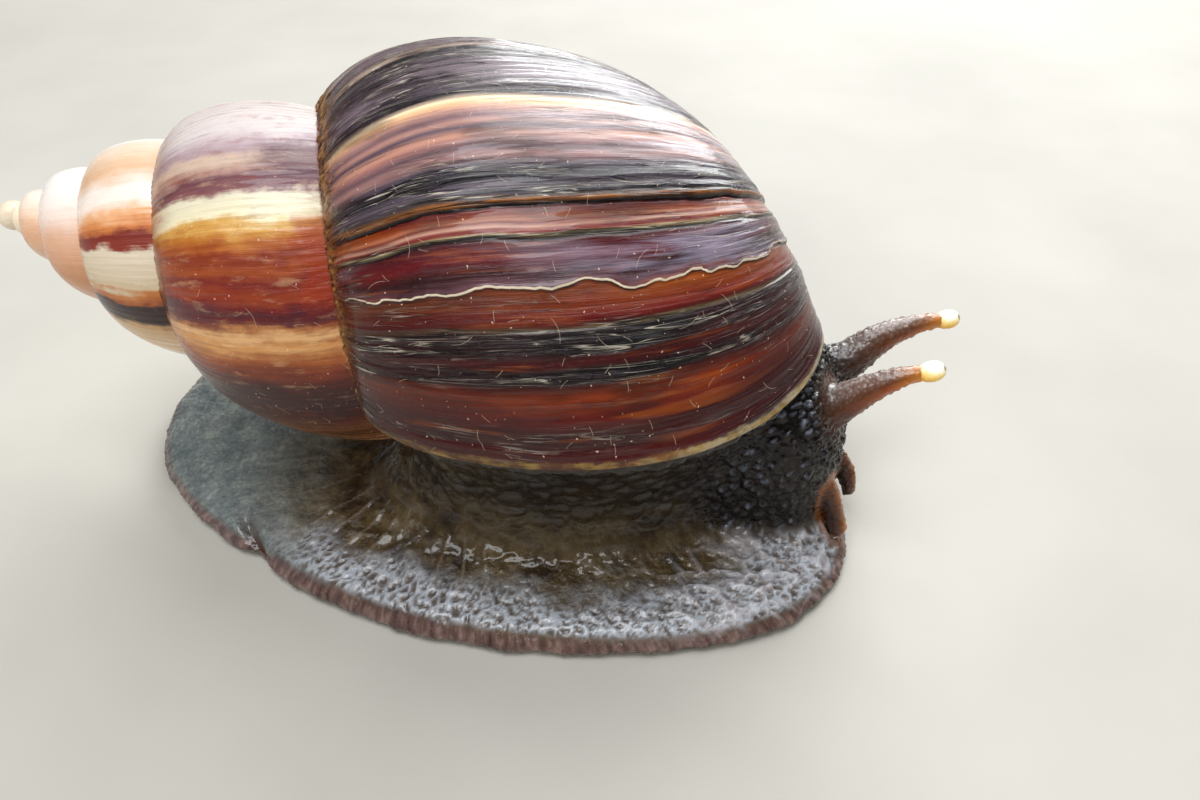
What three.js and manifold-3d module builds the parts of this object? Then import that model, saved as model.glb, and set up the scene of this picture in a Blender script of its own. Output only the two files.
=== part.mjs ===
// Giant African land snail, crawling: right-coiled shell carried on a broad foot, head raised, feelers out.
// Millimetres. Origin: middle of the flat sole, on the ground. +X to the head, +Y to the snail's left, +Z up.
import * as THREE from 'three';
import * as BufferGeometryUtils from 'three/addons/utils/BufferGeometryUtils.js';
import Module from 'manifold-3d';

const wasm = await Module();
wasm.setup();

const GAP = 0.3;
const TAU = 2 * Math.PI;

// Shell: a spiral of WHORLS turns about a straight axis. Sizes are those of the last turn, at the lip.
const WHORLS = 7;
const SHELL_RADIUS = 26.4;
const SHELL_LENGTH_TO_LIP_MIDDLE = 56.6;
const SECTION_HALF_WIDTH = 12.6;
const SECTION_HALF_HEIGHT = 22.4;
const SECTION_TILT = -0.0495;
const APEX_BLUNTNESS = 0.96;
const GROWTH = [0.5583, 0.0777, 0.0158];
const DESCENT_POWER = 1.2433;
const LIP_SLANT = [0.0688, 0.0276, 0.0202];
const SHELL_WALL = 1.2;
const COLLAR_DEPTH_TURNS = 0.13;
const COLUMELLA_RATIO = 0.2;
const APEX_CAP_RADIUS = 1.4;
const APEX_CAP_CENTRE = 1.1;
const APEX = new THREE.Vector3(-43.9, 8.4, 28.9);
const AXIS_YAW = THREE.MathUtils.degToRad(0.16);
const AXIS_DIP = THREE.MathUtils.degToRad(9.53);
const LIP_ANGLE = THREE.MathUtils.degToRad(86.3);

// Foot: a long oval plate with a flat sole and a thin round rim, bent to the left at the tail.
const FOOT_FRONT_LENGTH = 37.7;
const FOOT_REAR_LENGTH = 37.1;
const FOOT_HALF_WIDTH = 21.2;
const FOOT_FRONT_SQUARENESS = [3.2, 3];
const FOOT_REAR_SQUARENESS = [2.2, 2.4];
const FOOT_BEND = 15;
const FOOT_BEND_X = -17.5;
const FOOT_BEND_SOFTNESS = 10;
const FOOT_RIM_HEIGHT = 2.3;
const FOOT_DOME = 2.6;
const FOOT_CENTRE_Y = 3;
const TAIL_SPLIT_X = -17;

// Trunk: the stalk of the body between the foot and the shell's mouth.
const TRUNK_TOP_Z = 27;
const TRUNK_FOOT_HALF = [24, 14];
const TRUNK_WAIST_HALF = [14.5, 8];
const TRUNK_TOP_HALF = [18.5, 11];
const TRUNK_FOOT_CENTRE = [9.5, 1];
const TRUNK_TOP_CENTRE = [12, -4.8];

// Head and neck: a round-fronted block that leaves the mouth of the shell and comes down over the foot's front.
const HEAD_YAW = THREE.MathUtils.degToRad(-14);
const NECK_START = new THREE.Vector3(17, 2, 0);
const HEAD_LENGTH = 20.2;
const HEAD_HALF_WIDTH = 8.2;
const HEAD_TOP_Z = 20.4;
const HEAD_FRONT_TOP_Z = 17.2;
const HEAD_BOTTOM_Z = 2.3;
const NECK_SPLIT = 10.5;

// Feelers: the upper pair carries the eyes, the lower pair bends down to the ground beside the mouth.
const UPPER_FEELER_BASE_RADIUS = 3;
const UPPER_FEELER_TIP_RADIUS = 0.7;
const EYE_RADIUS = 0.95;
const LOWER_FEELER_BASE_RADIUS = 1.4;
const LOWER_FEELER_TIP_RADIUS = 0.8;

const BODY_SIDES = 22;
const PENULTIMATE_SIDES = 18;
const SPIRE_SIDES = 14;
const FOOT_SPOKES = 44;

function looks(colour, roughness) {
  return new THREE.MeshStandardMaterial({ color: colour, roughness: roughness, metalness: 0 });
}

// A closed body from rings of equal count: the first and the last ring are closed by a fan to their middle.
function loft(rings) {
  const sides = rings[0].length;
  const points = [];
  const faces = [];
  for (const ring of rings) {
    for (const p of ring) {
      points.push(p.x, p.y, p.z);
    }
  }
  for (let i = 0; i + 1 < rings.length; i++) {
    for (let j = 0; j < sides; j++) {
      const a = i * sides + j;
      const b = i * sides + (j + 1) % sides;
      faces.push(a, b, b + sides, a, b + sides, a + sides);
    }
  }
  const ends = [[0, 1], [rings.length - 1, 0]];
  for (const [row, first] of ends) {
    const middle = new THREE.Vector3();
    for (const p of rings[row]) {
      middle.add(p);
    }
    middle.divideScalar(sides);
    const centre = points.length / 3;
    points.push(middle.x, middle.y, middle.z);
    for (let j = 0; j < sides; j++) {
      const a = row * sides + j;
      const b = row * sides + (j + 1) % sides;
      if (first) {
        faces.push(centre, b, a);
      } else {
        faces.push(centre, a, b);
      }
    }
  }
  const geometry = new THREE.BufferGeometry();
  geometry.setAttribute('position', new THREE.Float32BufferAttribute(points, 3));
  geometry.setIndex(faces);
  return geometry;
}

// A three.js geometry as a solid, turned right side out where its rings ran the other way round.
function solid(geometry) {
  const plain = geometry.clone();
  plain.deleteAttribute('normal');
  plain.deleteAttribute('uv');
  const merged = BufferGeometryUtils.mergeVertices(plain, 1e-5);
  const p = merged.attributes.position;
  const index = Array.from(merged.index.array);
  let volume = 0;
  const a = new THREE.Vector3();
  const b = new THREE.Vector3();
  const c = new THREE.Vector3();
  for (let i = 0; i < index.length; i += 3) {
    a.fromBufferAttribute(p, index[i]);
    b.fromBufferAttribute(p, index[i + 1]);
    c.fromBufferAttribute(p, index[i + 2]);
    volume += a.dot(b.cross(c));
  }
  if (volume < 0) {
    for (let i = 0; i < index.length; i += 3) {
      [index[i + 1], index[i + 2]] = [index[i + 2], index[i + 1]];
    }
  }
  const vertProperties = new Float32Array(p.array);
  const triVerts = new Uint32Array(index);
  return new wasm.Manifold(new wasm.Mesh({ numProp: 3, vertProperties, triVerts }));
}

function biggest(body) {
  const bodies = body.decompose();
  bodies.sort((p, q) => q.volume() - p.volume());
  return bodies[0];
}

const group = new THREE.Group();

function add(name, body, material) {
  const data = biggest(body).getMesh();
  const geometry = new THREE.BufferGeometry();
  geometry.setAttribute('position', new THREE.Float32BufferAttribute(data.vertProperties, 3));
  geometry.setIndex(Array.from(data.triVerts));
  geometry.computeVertexNormals();
  const mesh = new THREE.Mesh(geometry, material);
  mesh.name = name;
  group.add(mesh);
}

// ---- Shell ----
const axis = new THREE.Vector3(
  Math.cos(AXIS_DIP) * Math.cos(AXIS_YAW),
  Math.cos(AXIS_DIP) * Math.sin(AXIS_YAW),
  -Math.sin(AXIS_DIP),
);
const up = new THREE.Vector3(0, 0, 1).addScaledVector(axis, -axis.z).normalize();
const side = new THREE.Vector3().crossVectors(axis, up);

function growth(turn) {
  const u = turn - WHORLS;
  return Math.exp(GROWTH[0] * u + GROWTH[1] * u * u + GROWTH[2] * u * u * u);
}

// The whorl's section is a tilted ellipse; s runs round it from its outermost point, positive to the base.
// A growth line keeps one value of line, and leans as the lip does, so its turn changes with s.
function shellPoint(line, s, swell) {
  const lean = -LIP_SLANT[0] * Math.sin(s) - LIP_SLANT[1] * (1 - Math.cos(s)) + LIP_SLANT[2] * Math.sin(2 * s);
  const turn = Math.max(line + lean * Math.min(1, line / 2), 0.02);
  const g = growth(turn);
  const c = Math.cos(SECTION_TILT);
  const n = Math.sin(SECTION_TILT);
  const reach = Math.hypot(SECTION_HALF_WIDTH * c, SECTION_HALF_HEIGHT * n);
  const ex = (g * SECTION_HALF_WIDTH + swell) * Math.cos(s);
  const ey = (g * SECTION_HALF_HEIGHT + swell) * Math.sin(s);
  const r = g * (SHELL_RADIUS - reach) + ex * c + ey * n;
  const z = APEX_BLUNTNESS + SHELL_LENGTH_TO_LIP_MIDDLE * g ** DESCENT_POWER - ex * n + ey * c;
  const angle = TAU * (turn - WHORLS) + LIP_ANGLE;
  const point = APEX.clone().addScaledVector(axis, z);
  point.addScaledVector(up, r * Math.cos(angle));
  point.addScaledVector(side, r * Math.sin(angle));
  return point;
}

function tube(from, to, steps, sides, swell) {
  const rings = [];
  for (let i = 0; i <= steps; i++) {
    const ring = [];
    for (let j = 0; j < sides; j++) {
      ring.push(shellPoint(from + (to - from) * i / steps, TAU * j / sides, swell));
    }
    rings.push(ring);
  }
  return solid(loft(rings));
}

// Half-turn pieces never meet themselves, so a run of whorls is their sum.
function whorls(from, to, stepsPerTurn, sides, swell) {
  let body = null;
  for (let t = from; t < to - 1e-9; t += 0.5) {
    const end = Math.min(t + 0.5, to);
    const piece = tube(t, end, Math.max(2, Math.round(stepsPerTurn * (end - t))), sides, swell);
    body = body ? body.add(piece) : piece;
  }
  return body;
}

// The pillar fills the hollow that the turns leave about the axis.
function pillar(fromTurn, toTurn, swell) {
  const profile = [];
  const steps = 14;
  const height = (t) => APEX_BLUNTNESS + SHELL_LENGTH_TO_LIP_MIDDLE * growth(t) ** DESCENT_POWER;
  profile.push(new THREE.Vector2(0, height(fromTurn) - swell));
  for (let i = 0; i <= steps; i++) {
    const t = fromTurn + (toTurn - fromTurn) * i / steps;
    profile.push(new THREE.Vector2(COLUMELLA_RATIO * SHELL_RADIUS * growth(t) + swell, height(t)));
  }
  profile.push(new THREE.Vector2(0, height(toTurn) + swell));
  const geometry = new THREE.LatheGeometry(profile, 14);
  const frame = new THREE.Matrix4().makeBasis(side, axis, up);
  frame.setPosition(APEX);
  geometry.applyMatrix4(frame);
  return solid(geometry);
}

const SPIRE_END = 5;
const PENULTIMATE_END = 6;
const CUT_TURN = 0.004;
const lowTurns = [0.5, SPIRE_END, 14, SPIRE_SIDES];
const nextTurn = [SPIRE_END, PENULTIMATE_END, 22, PENULTIMATE_SIDES];
const lastTurn = [PENULTIMATE_END, WHORLS, 28, BODY_SIDES];
const swollen = ([from, to, steps, sides]) => whorls(from, to + CUT_TURN, steps, sides, GAP);
const spireCut = swollen(lowTurns).add(pillar(3, 5.6, GAP));
const penultimateCut = swollen(nextTurn);
const cap = new THREE.SphereGeometry(APEX_CAP_RADIUS, 12, 8);
cap.translate(...APEX.clone().addScaledVector(axis, APEX_CAP_CENTRE).toArray());
const spire = whorls(...lowTurns, 0).add(pillar(3, 5.6, 0)).add(solid(cap));
const penultimate = whorls(...nextTurn, 0).subtract(spireCut);
const mouth = tube(WHORLS - COLLAR_DEPTH_TURNS, WHORLS + 0.05, 7, BODY_SIDES, -SHELL_WALL);
const bodyWhorl = whorls(...lastTurn, 0).add(pillar(5.7, 6.75, 0))
  .subtract(penultimateCut).subtract(spireCut).subtract(mouth);
const lastCut = swollen(lastTurn).add(pillar(5.7, 6.75, GAP));
const shellCut = lastCut.add(penultimateCut).add(spireCut);
const collar = tube(WHORLS - COLLAR_DEPTH_TURNS + 0.01, WHORLS, 5, BODY_SIDES, -SHELL_WALL - GAP)
  .subtract(penultimateCut).subtract(whorls(PENULTIMATE_END, PENULTIMATE_END + 0.5, 30, BODY_SIDES, GAP));

add('shell_spire', spire, looks(0xd9b79a, 0.35));
add('shell_penultimate_whorl', penultimate, looks(0xb05a2c, 0.3));
add('shell_body_whorl', bodyWhorl, looks(0x4d241c, 0.25));
add('mantle_collar', collar, looks(0x4b3d33, 0.4));

// ---- Foot ----
function footMiddleY(x) {
  return -1 + FOOT_BEND / (1 + Math.exp((x - FOOT_BEND_X) / FOOT_BEND_SOFTNESS));
}

function footEdge(angle) {
  const along = Math.cos(angle);
  const across = Math.sin(angle);
  const power = along > 0 ? FOOT_FRONT_SQUARENESS : FOOT_REAR_SQUARENESS;
  const length = along > 0 ? FOOT_FRONT_LENGTH : FOOT_REAR_LENGTH;
  const x = length * Math.sign(along) * Math.abs(along) ** (2 / power[0]);
  const width = FOOT_HALF_WIDTH * Math.sign(across) * Math.abs(across) ** (2 / power[1]);
  return new THREE.Vector2(x, footMiddleY(x) + width);
}

// Rows of the foot from the middle of the sole, round the rim, to the middle of its back: reach and height.
function footRows(swell) {
  const rows = [[0.5, 0], [0.965, 0], [0.993, 0.35], [1, 0.95], [0.99, 1.6], [0.965, 2.1]];
  for (const reach of [0.9, 0.78, 0.62, 0.4, 0.15]) {
    rows.push([reach, FOOT_RIM_HEIGHT + FOOT_DOME * (1 - reach) ** 0.8 + swell]);
  }
  return rows;
}

function footSolid(swell) {
  const rings = [];
  for (const [reach, z] of footRows(swell)) {
    const ring = [];
    for (let j = 0; j < FOOT_SPOKES; j++) {
      const edge = footEdge(TAU * j / FOOT_SPOKES);
      const y = FOOT_CENTRE_Y + (edge.y - FOOT_CENTRE_Y) * reach;
      ring.push(new THREE.Vector3(edge.x * reach, y, z));
    }
    rings.push(ring);
  }
  return solid(loft(rings));
}

function slab(xFrom, xTo) {
  const geometry = new THREE.BoxGeometry(xTo - xFrom, 120, 120);
  geometry.translate((xFrom + xTo) / 2, 0, 0);
  return solid(geometry);
}

const foot = footSolid(0).subtract(shellCut);
add('tail', foot.intersect(slab(-90, TAIL_SPLIT_X - GAP / 2)), looks(0x5f5851, 0.35));
add('foot', foot.intersect(slab(TAIL_SPLIT_X + GAP / 2, 90)), looks(0x5a524b, 0.35));

// ---- Trunk ----
function oval(centre, half, z, sides) {
  const ring = [];
  for (let j = 0; j < sides; j++) {
    const a = TAU * j / sides;
    ring.push(new THREE.Vector3(centre[0] + half[0] * Math.cos(a), centre[1] + half[1] * Math.sin(a), z));
  }
  return ring;
}

function trunkSolid(swell) {
  const rings = [];
  const steps = 7;
  for (let i = 0; i <= steps; i++) {
    const k = i / steps;
    const z = 2.5 + (TRUNK_TOP_Z - 2.5) * k ** 1.3;
    const flare = (1 - k) ** 3;
    const open = THREE.MathUtils.smoothstep(k, 0.3, 0.85);
    const half = [0, 1].map((n) => TRUNK_WAIST_HALF[n] + swell
      + (TRUNK_FOOT_HALF[n] - TRUNK_WAIST_HALF[n]) * flare
      + (TRUNK_TOP_HALF[n] - TRUNK_WAIST_HALF[n]) * open);
    const centre = [0, 1].map((n) => THREE.MathUtils.lerp(TRUNK_FOOT_CENTRE[n], TRUNK_TOP_CENTRE[n], k));
    rings.push(oval(centre, half, z, 26));
  }
  return solid(loft(rings));
}

const footCut = footSolid(GAP);
const trunk = trunkSolid(0).subtract(footCut).subtract(shellCut);

// ---- Neck and head ----
function headFrame() {
  const frame = new THREE.Matrix4().makeRotationZ(HEAD_YAW);
  frame.setPosition(NECK_START);
  return frame;
}

function headSolid(swell) {
  const rings = [];
  const steps = 10;
  const frame = headFrame();
  for (let i = 0; i <= steps; i++) {
    const k = Math.sin(i / steps * Math.PI / 2);
    const round = Math.sqrt(Math.max(1 - Math.max((k - 0.7) / 0.302, 0) ** 3, 0.02));
    const chin = Math.sqrt(Math.max(1 - Math.max((k - 0.86) / 0.142, 0) ** 3, 0.02));
    const top = THREE.MathUtils.lerp(HEAD_TOP_Z, HEAD_FRONT_TOP_Z, THREE.MathUtils.smoothstep(k, 0.75, 1));
    const middle = THREE.MathUtils.lerp(HEAD_BOTTOM_Z, top, 0.5);
    const high = (top - HEAD_BOTTOM_Z) / 2;
    const wide = HEAD_HALF_WIDTH * (1.08 - 0.08 * k) * round + swell;
    const ring = [];
    for (let j = 0; j < 20; j++) {
      const a = TAU * j / 20;
      const c = Math.cos(a);
      const s = Math.sin(a);
      const bulge = s < 0 ? 0.5 : 0.85;
      const y = wide * Math.sign(c) * Math.abs(c) ** bulge;
      const z = middle + (high * (s < 0 ? chin : round) + swell) * Math.sign(s) * Math.abs(s) ** bulge;
      ring.push(new THREE.Vector3(k * HEAD_LENGTH, y, z).applyMatrix4(frame));
    }
    rings.push(ring);
  }
  return solid(loft(rings));
}

function headSlab(from, to) {
  const geometry = new THREE.BoxGeometry(to - from, 80, 80);
  geometry.translate((from + to) / 2, 0, 0);
  geometry.applyMatrix4(headFrame());
  return solid(geometry);
}

const headAndNeck = headSolid(0).subtract(footCut).subtract(shellCut);
const neck = headAndNeck.intersect(headSlab(-20, NECK_SPLIT - GAP / 2)).subtract(trunkSolid(GAP));
const headBlock = headAndNeck.intersect(headSlab(NECK_SPLIT + GAP / 2, 60)).subtract(trunkSolid(GAP));

// ---- Feelers ----
// A tapering round stalk along a curve. Its first ring starts inside the head, which cuts it.
function stalk(points, baseRadius, tipRadius, taper, swell) {
  const curve = new THREE.CatmullRomCurve3(points);
  const steps = 11;
  const rings = [];
  for (let i = 0; i <= steps; i++) {
    const k = i / steps;
    const at = curve.getPointAt(k);
    const along = curve.getTangentAt(k);
    const right = new THREE.Vector3().crossVectors(along, new THREE.Vector3(0, 0.3, 1)).normalize();
    const above = new THREE.Vector3().crossVectors(right, along);
    const radius = tipRadius + (baseRadius - tipRadius) * (1 - k) ** taper + swell;
    const ring = [];
    for (let j = 0; j < 10; j++) {
      const a = TAU * j / 10;
      const p = at.clone().addScaledVector(right, radius * Math.cos(a));
      ring.push(p.addScaledVector(above, radius * Math.sin(a)));
    }
    rings.push(ring);
  }
  return solid(loft(rings));
}

function ball(centre, radius, cut) {
  const geometry = new THREE.SphereGeometry(radius, 12, 8);
  geometry.translate(centre.x, centre.y, centre.z);
  return solid(geometry).subtract(cut);
}

const upperLeft = [[32.5, 3, 12.6], [37.1, 4, 14.8], [40.3, 4.8, 17], [43.9, 5.5, 18.2], [46.8, 6, 18.4]];
const upperRight = [[29.8, -4, 13], [34.2, -4.6, 16.2], [37.2, -4.9, 18.6], [39.6, -5.1, 20], [41.7, -5.3, 20.7]];
const lowerLeft = [[34, -1, 7], [36.5, -1.8, 6.6], [37.6, -2.7, 4.9], [37.9, -3, 3.1]];
const lowerRight = [[32.2, -6.2, 10], [34.2, -7.1, 7.8], [35.3, -7.8, 5.2], [35.8, -8.3, 3.2]];
const toPoints = (list) => list.map((p) => new THREE.Vector3(...p));

const feelers = [
  ['upper_tentacle_left', upperLeft, UPPER_FEELER_BASE_RADIUS, UPPER_FEELER_TIP_RADIUS, 1.2],
  ['upper_tentacle_right', upperRight, UPPER_FEELER_BASE_RADIUS, UPPER_FEELER_TIP_RADIUS, 1.2],
  ['lower_tentacle_left', lowerLeft, LOWER_FEELER_BASE_RADIUS, LOWER_FEELER_TIP_RADIUS, 1],
  ['lower_tentacle_right', lowerRight, LOWER_FEELER_BASE_RADIUS, LOWER_FEELER_TIP_RADIUS, 1],
];
const headCut = headSolid(GAP);

add('trunk', trunk, looks(0x3a322c, 0.4));
add('neck', neck, looks(0x2f2925, 0.4));
add('head', headBlock, looks(0x2c2522, 0.4));
for (const [name, points, base, tip, taper] of feelers) {
  const isUpper = name.startsWith('upper');
  const stem = stalk(toPoints(points), base, tip, taper, 0).subtract(headCut).subtract(shellCut).subtract(footCut);
  add(name, stem, looks(isUpper ? 0x8a6350 : 0x9a5d33, 0.4));
  if (isUpper) {
    const end = new THREE.Vector3(...points[points.length - 1]);
    const before = new THREE.Vector3(...points[points.length - 2]);
    const out = end.clone().sub(before).normalize();
    const centre = end.clone().addScaledVector(out, EYE_RADIUS * 0.55);
    const stemCut = stalk(toPoints(points), base, tip, taper, GAP)
      .add(stalk([end.clone().addScaledVector(out, -0.5), end.clone().addScaledVector(out, GAP)], tip, tip, 1, GAP));
    add(name.replace('upper_tentacle', 'eye'), ball(centre, EYE_RADIUS, stemCut), looks(0xd9b878, 0.35));
  }
}

export default group;
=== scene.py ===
import math
import bpy
import bmesh
import numpy as np
from mathutils import Matrix, Vector


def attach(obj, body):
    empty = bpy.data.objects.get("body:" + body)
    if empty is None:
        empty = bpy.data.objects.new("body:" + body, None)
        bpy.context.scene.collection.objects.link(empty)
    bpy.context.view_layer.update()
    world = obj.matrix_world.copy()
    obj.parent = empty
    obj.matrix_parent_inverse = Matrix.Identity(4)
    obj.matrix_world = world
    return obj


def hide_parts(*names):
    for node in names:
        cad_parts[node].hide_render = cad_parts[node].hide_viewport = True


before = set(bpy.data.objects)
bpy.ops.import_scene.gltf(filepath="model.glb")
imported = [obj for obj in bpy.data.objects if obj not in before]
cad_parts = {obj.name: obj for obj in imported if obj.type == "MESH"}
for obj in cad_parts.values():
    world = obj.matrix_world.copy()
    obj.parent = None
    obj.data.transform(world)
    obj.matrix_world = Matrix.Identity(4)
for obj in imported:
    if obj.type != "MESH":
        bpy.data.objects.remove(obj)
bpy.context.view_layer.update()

MM = 0.001
TAU = 2 * math.pi


def rgb(code):
    """A colour written as six hexadecimal digits, as linear light."""
    parts = [int(code[i:i + 2], 16) / 255 for i in (0, 2, 4)]
    return tuple(p / 12.92 if p <= 0.04045 else ((p + 0.055) / 1.055) ** 2.4 for p in parts) + (1.0,)


def smooth(value, low, high):
    k = np.clip((value - low) / (high - low), 0, 1)
    return k * k * (3 - 2 * k)


# ---- Noise on arrays of points ----
def hashed(x, y, z, seed):
    n = x * 73856093 + y * 19349663 + z * 83492791 + seed * 7919
    n = (n ^ (n >> 13)) & 0x7fffffff
    n = (n * (n * n * 15731 % 2147483647 + 789221) + 1376312589) & 0x7fffffff
    n = (n ^ (n >> 11)) * 40503 & 0x7fffffff
    return (n & 0xffff) / 65535.0


def noise(x, y, z, seed=0):
    """Smooth value noise from 0 to 1."""
    x, y, z = np.broadcast_arrays(x, y, z)
    cells = [np.floor(v).astype(np.int64) for v in (x, y, z)]
    part = [v - c for v, c in zip((x, y, z), cells)]
    fade = [t * t * t * (t * (t * 6 - 15) + 10) for t in part]
    total = 0.0
    for i in (0, 1):
        wi = fade[0] if i else 1 - fade[0]
        for j in (0, 1):
            wj = fade[1] if j else 1 - fade[1]
            for k in (0, 1):
                wk = fade[2] if k else 1 - fade[2]
                total = total + wi * wj * wk * hashed(cells[0] + i, cells[1] + j, cells[2] + k, seed)
    return total


def layered(x, y, z, seed=0, layers=3):
    total, weight, scale = 0.0, 0.0, 1.0
    for i in range(layers):
        total = total + noise(x * scale, y * scale, z * scale, seed + i) / scale
        weight += 1 / scale
        scale *= 2
    return total / weight


def cells(points, seed=0):
    """Distance to the nearest and to the second nearest of scattered points, about one per unit cube."""
    base = np.floor(points).astype(np.int64)
    best = np.full(len(points), 9.0)
    second = np.full(len(points), 9.0)
    for i in (-1, 0, 1):
        for j in (-1, 0, 1):
            for k in (-1, 0, 1):
                c = base + (i, j, k)
                spot = np.stack([c[:, a] + 0.15 + 0.7 * hashed(c[:, 0], c[:, 1], c[:, 2], seed + 11 * a)
                                 for a in range(3)], axis=1)
                d = np.sqrt(((spot - points) ** 2).sum(axis=1))
                second = np.minimum(second, np.maximum(best, d))
                best = np.minimum(best, d)
    return best, second


# ---- Meshes ----
def new_object(name, vertices, faces, material=None):
    mesh = bpy.data.meshes.new(name)
    mesh.from_pydata([tuple(v) for v in vertices], [], [tuple(f) for f in faces])
    mesh.update()
    thing = bpy.data.objects.new(name, mesh)
    bpy.context.scene.collection.objects.link(thing)
    if material:
        mesh.materials.append(material)
    return thing


def fast_object(name, vertices, quads):
    """An object from arrays of points and four-sided faces."""
    mesh = bpy.data.meshes.new(name)
    mesh.vertices.add(len(vertices))
    mesh.vertices.foreach_set("co", np.ascontiguousarray(vertices, dtype=np.float32).ravel())
    mesh.loops.add(quads.size)
    mesh.loops.foreach_set("vertex_index", np.ascontiguousarray(quads, dtype=np.int32).ravel())
    mesh.polygons.add(len(quads))
    mesh.polygons.foreach_set("loop_start", np.arange(0, quads.size, 4, dtype=np.int32))
    mesh.update(calc_edges=True)
    mesh.validate()
    thing = bpy.data.objects.new(name, mesh)
    bpy.context.scene.collection.objects.link(thing)
    return thing


def set_attribute(mesh, name, values):
    layer = mesh.attributes.new(name, "FLOAT", "POINT")
    layer.data.foreach_set("value", np.ascontiguousarray(values, dtype=np.float32).ravel())


def points_of(mesh):
    data = np.empty(len(mesh.vertices) * 3, dtype=np.float32)
    mesh.vertices.foreach_get("co", data)
    return data.reshape(-1, 3).astype(np.float64)


def normals_of(mesh):
    data = np.empty(len(mesh.vertices) * 3, dtype=np.float32)
    mesh.vertex_normals.foreach_get("vector", data)
    return data.reshape(-1, 3).astype(np.float64)


def put_points(mesh, points):
    mesh.vertices.foreach_set("co", np.ascontiguousarray(points, dtype=np.float32).ravel())
    mesh.update()


def smooth_faces(mesh):
    mesh.polygons.foreach_set("use_smooth", np.ones(len(mesh.polygons), dtype=bool))


def settled(mesh, points, times, weight=None, share=0.5):
    """Points moved towards the mean of their neighbours, the given number of times."""
    edges = np.empty(len(mesh.edges) * 2, dtype=np.int32)
    mesh.edges.foreach_get("vertices", edges)
    a, b = edges[0::2], edges[1::2]
    count = len(points)
    degree = np.maximum(np.bincount(a, minlength=count) + np.bincount(b, minlength=count), 1)
    amount = share if weight is None else share * weight[:, None]
    for _ in range(times):
        mean = np.stack([np.bincount(a, points[b, i], count) + np.bincount(b, points[a, i], count)
                         for i in range(3)], axis=1) / degree[:, None]
        points = points + (mean - points) * amount
    return points


def applied(thing):
    """The object's mesh with its modifiers applied, and the modifiers removed."""
    graph = bpy.context.evaluated_depsgraph_get()
    mesh = bpy.data.meshes.new_from_object(thing.evaluated_get(graph))
    thing.modifiers.clear()
    old = thing.data
    thing.data = mesh
    bpy.data.meshes.remove(old)
    return mesh


def loft(rings):
    """Points and faces of a closed body from rings of equal count, facing out."""
    rings = [np.asarray(r, dtype=float) for r in rings]
    sides = len(rings[0])
    points = np.concatenate(rings + [rings[0].mean(axis=0)[None], rings[-1].mean(axis=0)[None]])
    faces = []
    for i in range(len(rings) - 1):
        for j in range(sides):
            a, b = i * sides + j, i * sides + (j + 1) % sides
            faces.append((a, b, b + sides, a + sides))
    first, last = len(points) - 2, len(points) - 1
    end = (len(rings) - 1) * sides
    for j in range(sides):
        faces.append((first, (j + 1) % sides, j))
        faces.append((last, end + j, end + (j + 1) % sides))
    volume = 0.0
    for face in faces:
        for k in range(1, len(face) - 1):
            volume += np.dot(points[face[0]], np.cross(points[face[k]], points[face[k + 1]]))
    if volume < 0:
        faces = [tuple(reversed(face)) for face in faces]
    return points, faces


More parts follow.
